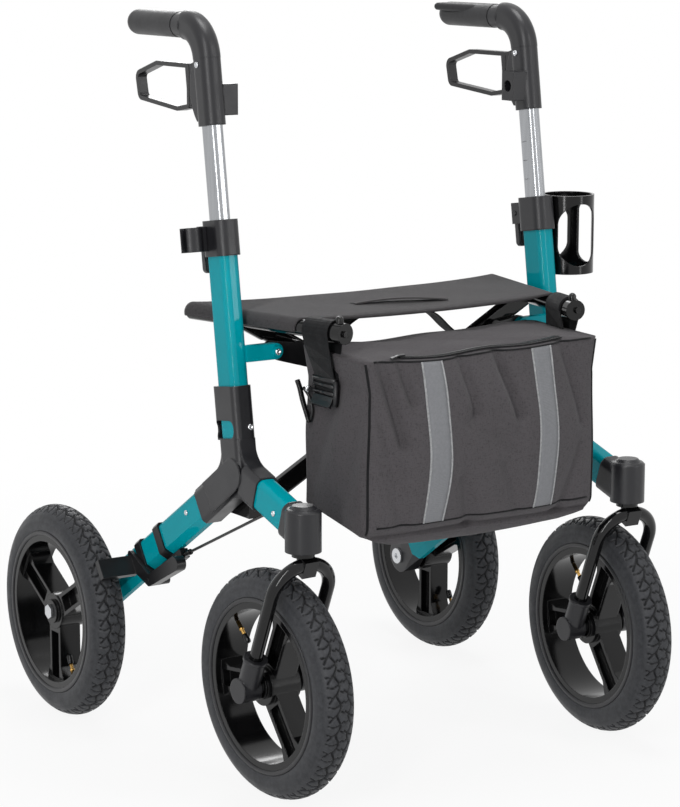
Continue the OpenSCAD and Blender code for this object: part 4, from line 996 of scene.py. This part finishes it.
# Bag straps over the front ends of the seat tubes: (outward, upward) points from the tube's axis
STRAP_Y, STRAP_WIDE, STRAP_THICK, LOOP_R = -225.5, 42, 2.2, 14.5
LOOP_ANGLES = [math.radians(a) for a in range(190, -21, -15)]
STRAP_RUNS = {
    "loop": [(LOOP_R * math.cos(a), LOOP_R * math.sin(a)) for a in LOOP_ANGLES],
    "fall": [(13.2, -5), (10.8, -16), (5.0, -32), (-2.6, -56), (-4.4, -72), (-4.8, -90)],
    "back": [(-13.6, -3), (-10.5, -30), (-8.0, -60), (-7.6, -88)],
}
TURN_START, TURN_LENGTH = 10, 40
# Ladder buckles: place below the tube's axis, half their width, heights of the frame and bars, and the lip
BUCKLE_IN, BUCKLE_DROP, BUCKLE_HALF = 3.2, 74, 23
BUCKLE_HIGH, BUCKLE_LOW, BUCKLE_BARS = 15, -13, {"top": 8, "mid": -1}
BUCKLE_LIP = ((1, -5), (3.5, -11), (7.5, -17))
BUCKLE_R, BAR_R, BAR_OUT, BAR_GAP, BUCKLE_LIP_THICK = 3.6, 2.6, 1.5, 1, 4.0


def strap_path(side, run):
    """The points of a strap and its width at each, which turns from along the tube to along the bag."""
    k = SIDES[side]
    across = Vector((k * math.cos(SPLAY), -math.sin(SPLAY), 0))
    along = Vector((k * math.sin(SPLAY), math.cos(SPLAY), 0))
    axis = Vector((k * seat_x(STRAP_Y), STRAP_Y, SEAT_Z))
    path, widths = [], []
    for x, z in run:
        turn = min(1.0, max(0.0, (-z - TURN_START) / TURN_LENGTH))
        path.append(axis + across.lerp(Vector((k, 0, 0)), turn) * x + Vector((0, 0, z)))
        widths.append(along.lerp(Vector((0, 1, 0)), turn))
    return path, widths


def buckle(side):
    k, mat = SIDES[side], MATS["satin_metal"]
    x, z = k * (seat_x(STRAP_Y) - BUCKLE_IN), SEAT_Z - BUCKLE_DROP
    front, back = STRAP_Y - BUCKLE_HALF, STRAP_Y + BUCKLE_HALF
    high, low = z + BUCKLE_HIGH, z + BUCKLE_LOW
    outline = [(x, front, high), (x, front, low), (x, back, low), (x, back, high), (x, front, high)]
    pieces = [tube(f"{side}_buckle", outline, BUCKLE_R, mat)]
    for label, up in BUCKLE_BARS.items():
        bar = [(x + k * BAR_OUT, y, z + up) for y in (front + BAR_GAP, back - BAR_GAP)]
        pieces.append(tube(f"{side}_buckle_bar_{label}", bar, BAR_R, mat, sides=10))
    lip = [(x + k * out, STRAP_Y, z + up) for out, up in BUCKLE_LIP]
    pieces.append(band(f"{side}_buckle_lip", lip, (0, 1, 0), STRAP_WIDE, BUCKLE_LIP_THICK, mat))
    return pieces


def bag_straps():
    """The loops ride on the seat tubes. What hangs below them moves with the bag, and is given back."""
    hanging = []
    for side in SIDES:
        for label, run in STRAP_RUNS.items():
            path, widths = strap_path(side, run)
            strap = band(f"{side}_strap_{label}", path, widths, STRAP_WIDE, STRAP_THICK, MATS["webbing"])
            if label == "loop":
                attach(strap, TUBE_BODY[side])
            else:
                hanging.append(strap)
        hanging += buckle(side)
    return hanging


# Hanging clip beside the right buckle, and eyelets near the floor of the bag
CLIP_BODY = [(-186, -174, 502), (-185, -178, 493), (-184, -183, 478), (-182, -189, 462), (-181, -193, 452)]
CLIP_GATE = [(-183, -183, 494), (-181, -193, 484), (-180, -198, 468), (-180, -194, 454)]
CLIP_CORD = [(-182, -185, 492), (-180, -193, 494), (-178, -200, 492), (-177, -206, 490)]
CLIP_RING = [(3.2, -1.4), (4.4, -1.0), (4.8, 0.0), (4.4, 1.0), (3.2, 1.4)]
CLIP_RING_AT, CLIP_RING_AXIS = (-181, -192, 493), (0.2, 1, 0.2)
CLIP_R, CLIP_FLAT, GATE_R, CORD_R = 5.4, 0.6, 2.0, 2.0
EYELET_RIM = [(5.0, -1.5), (5.0, 0.4), (4.6, 1.0), (3.8, 1.3), (2.9, 0.9), (2.7, -0.4), (0.3, -0.5)]
EYELET_X, EYELET_Y, EYELET_Z = 172.0, -209.5, 352


def bag_clip():
    return [
        tube("bag_clip", smooth_path(CLIP_BODY), CLIP_R, MATS["gloss_plastic"], flat=CLIP_FLAT),
        tube("bag_clip_gate", smooth_path(CLIP_GATE), GATE_R, MATS["satin_metal"], sides=10),
        tube("bag_clip_cord", smooth_path(CLIP_CORD), CORD_R, MATS["webbing"], sides=10),
        lathe("bag_clip_ring", CLIP_RING, MATS["steel"], CLIP_RING_AT, CLIP_RING_AXIS, sides=24),
    ]


def bag_eyelets():
    pieces = []
    for side, k in SIDES.items():
        at = (k * EYELET_X, EYELET_Y, EYELET_Z)
        pieces.append(lathe(f"bag_eyelet_{side}", EYELET_RIM, MATS["eyelet"], at, (k, 0, 0), sides=28))
    return pieces


def add_bag():
    bag = bag_body()
    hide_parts("bag")
    trim = bag_stripes() + bag_piping() + bag_zip()
    straps = bag_straps()
    for piece in [bag] + trim + straps + bag_clip() + bag_eyelets():
        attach(piece, "bag")
        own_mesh(piece)
    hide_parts("bag_straps")


add_camera()
add_world()
add_floor()
for light_values in LIGHTS:
    area_light(*light_values)
dress_nodes()
add_wheels()
add_screws()
add_height_marks()
add_sling()
add_lift_strap()
add_bag()

bpy.context.view_layer.update()
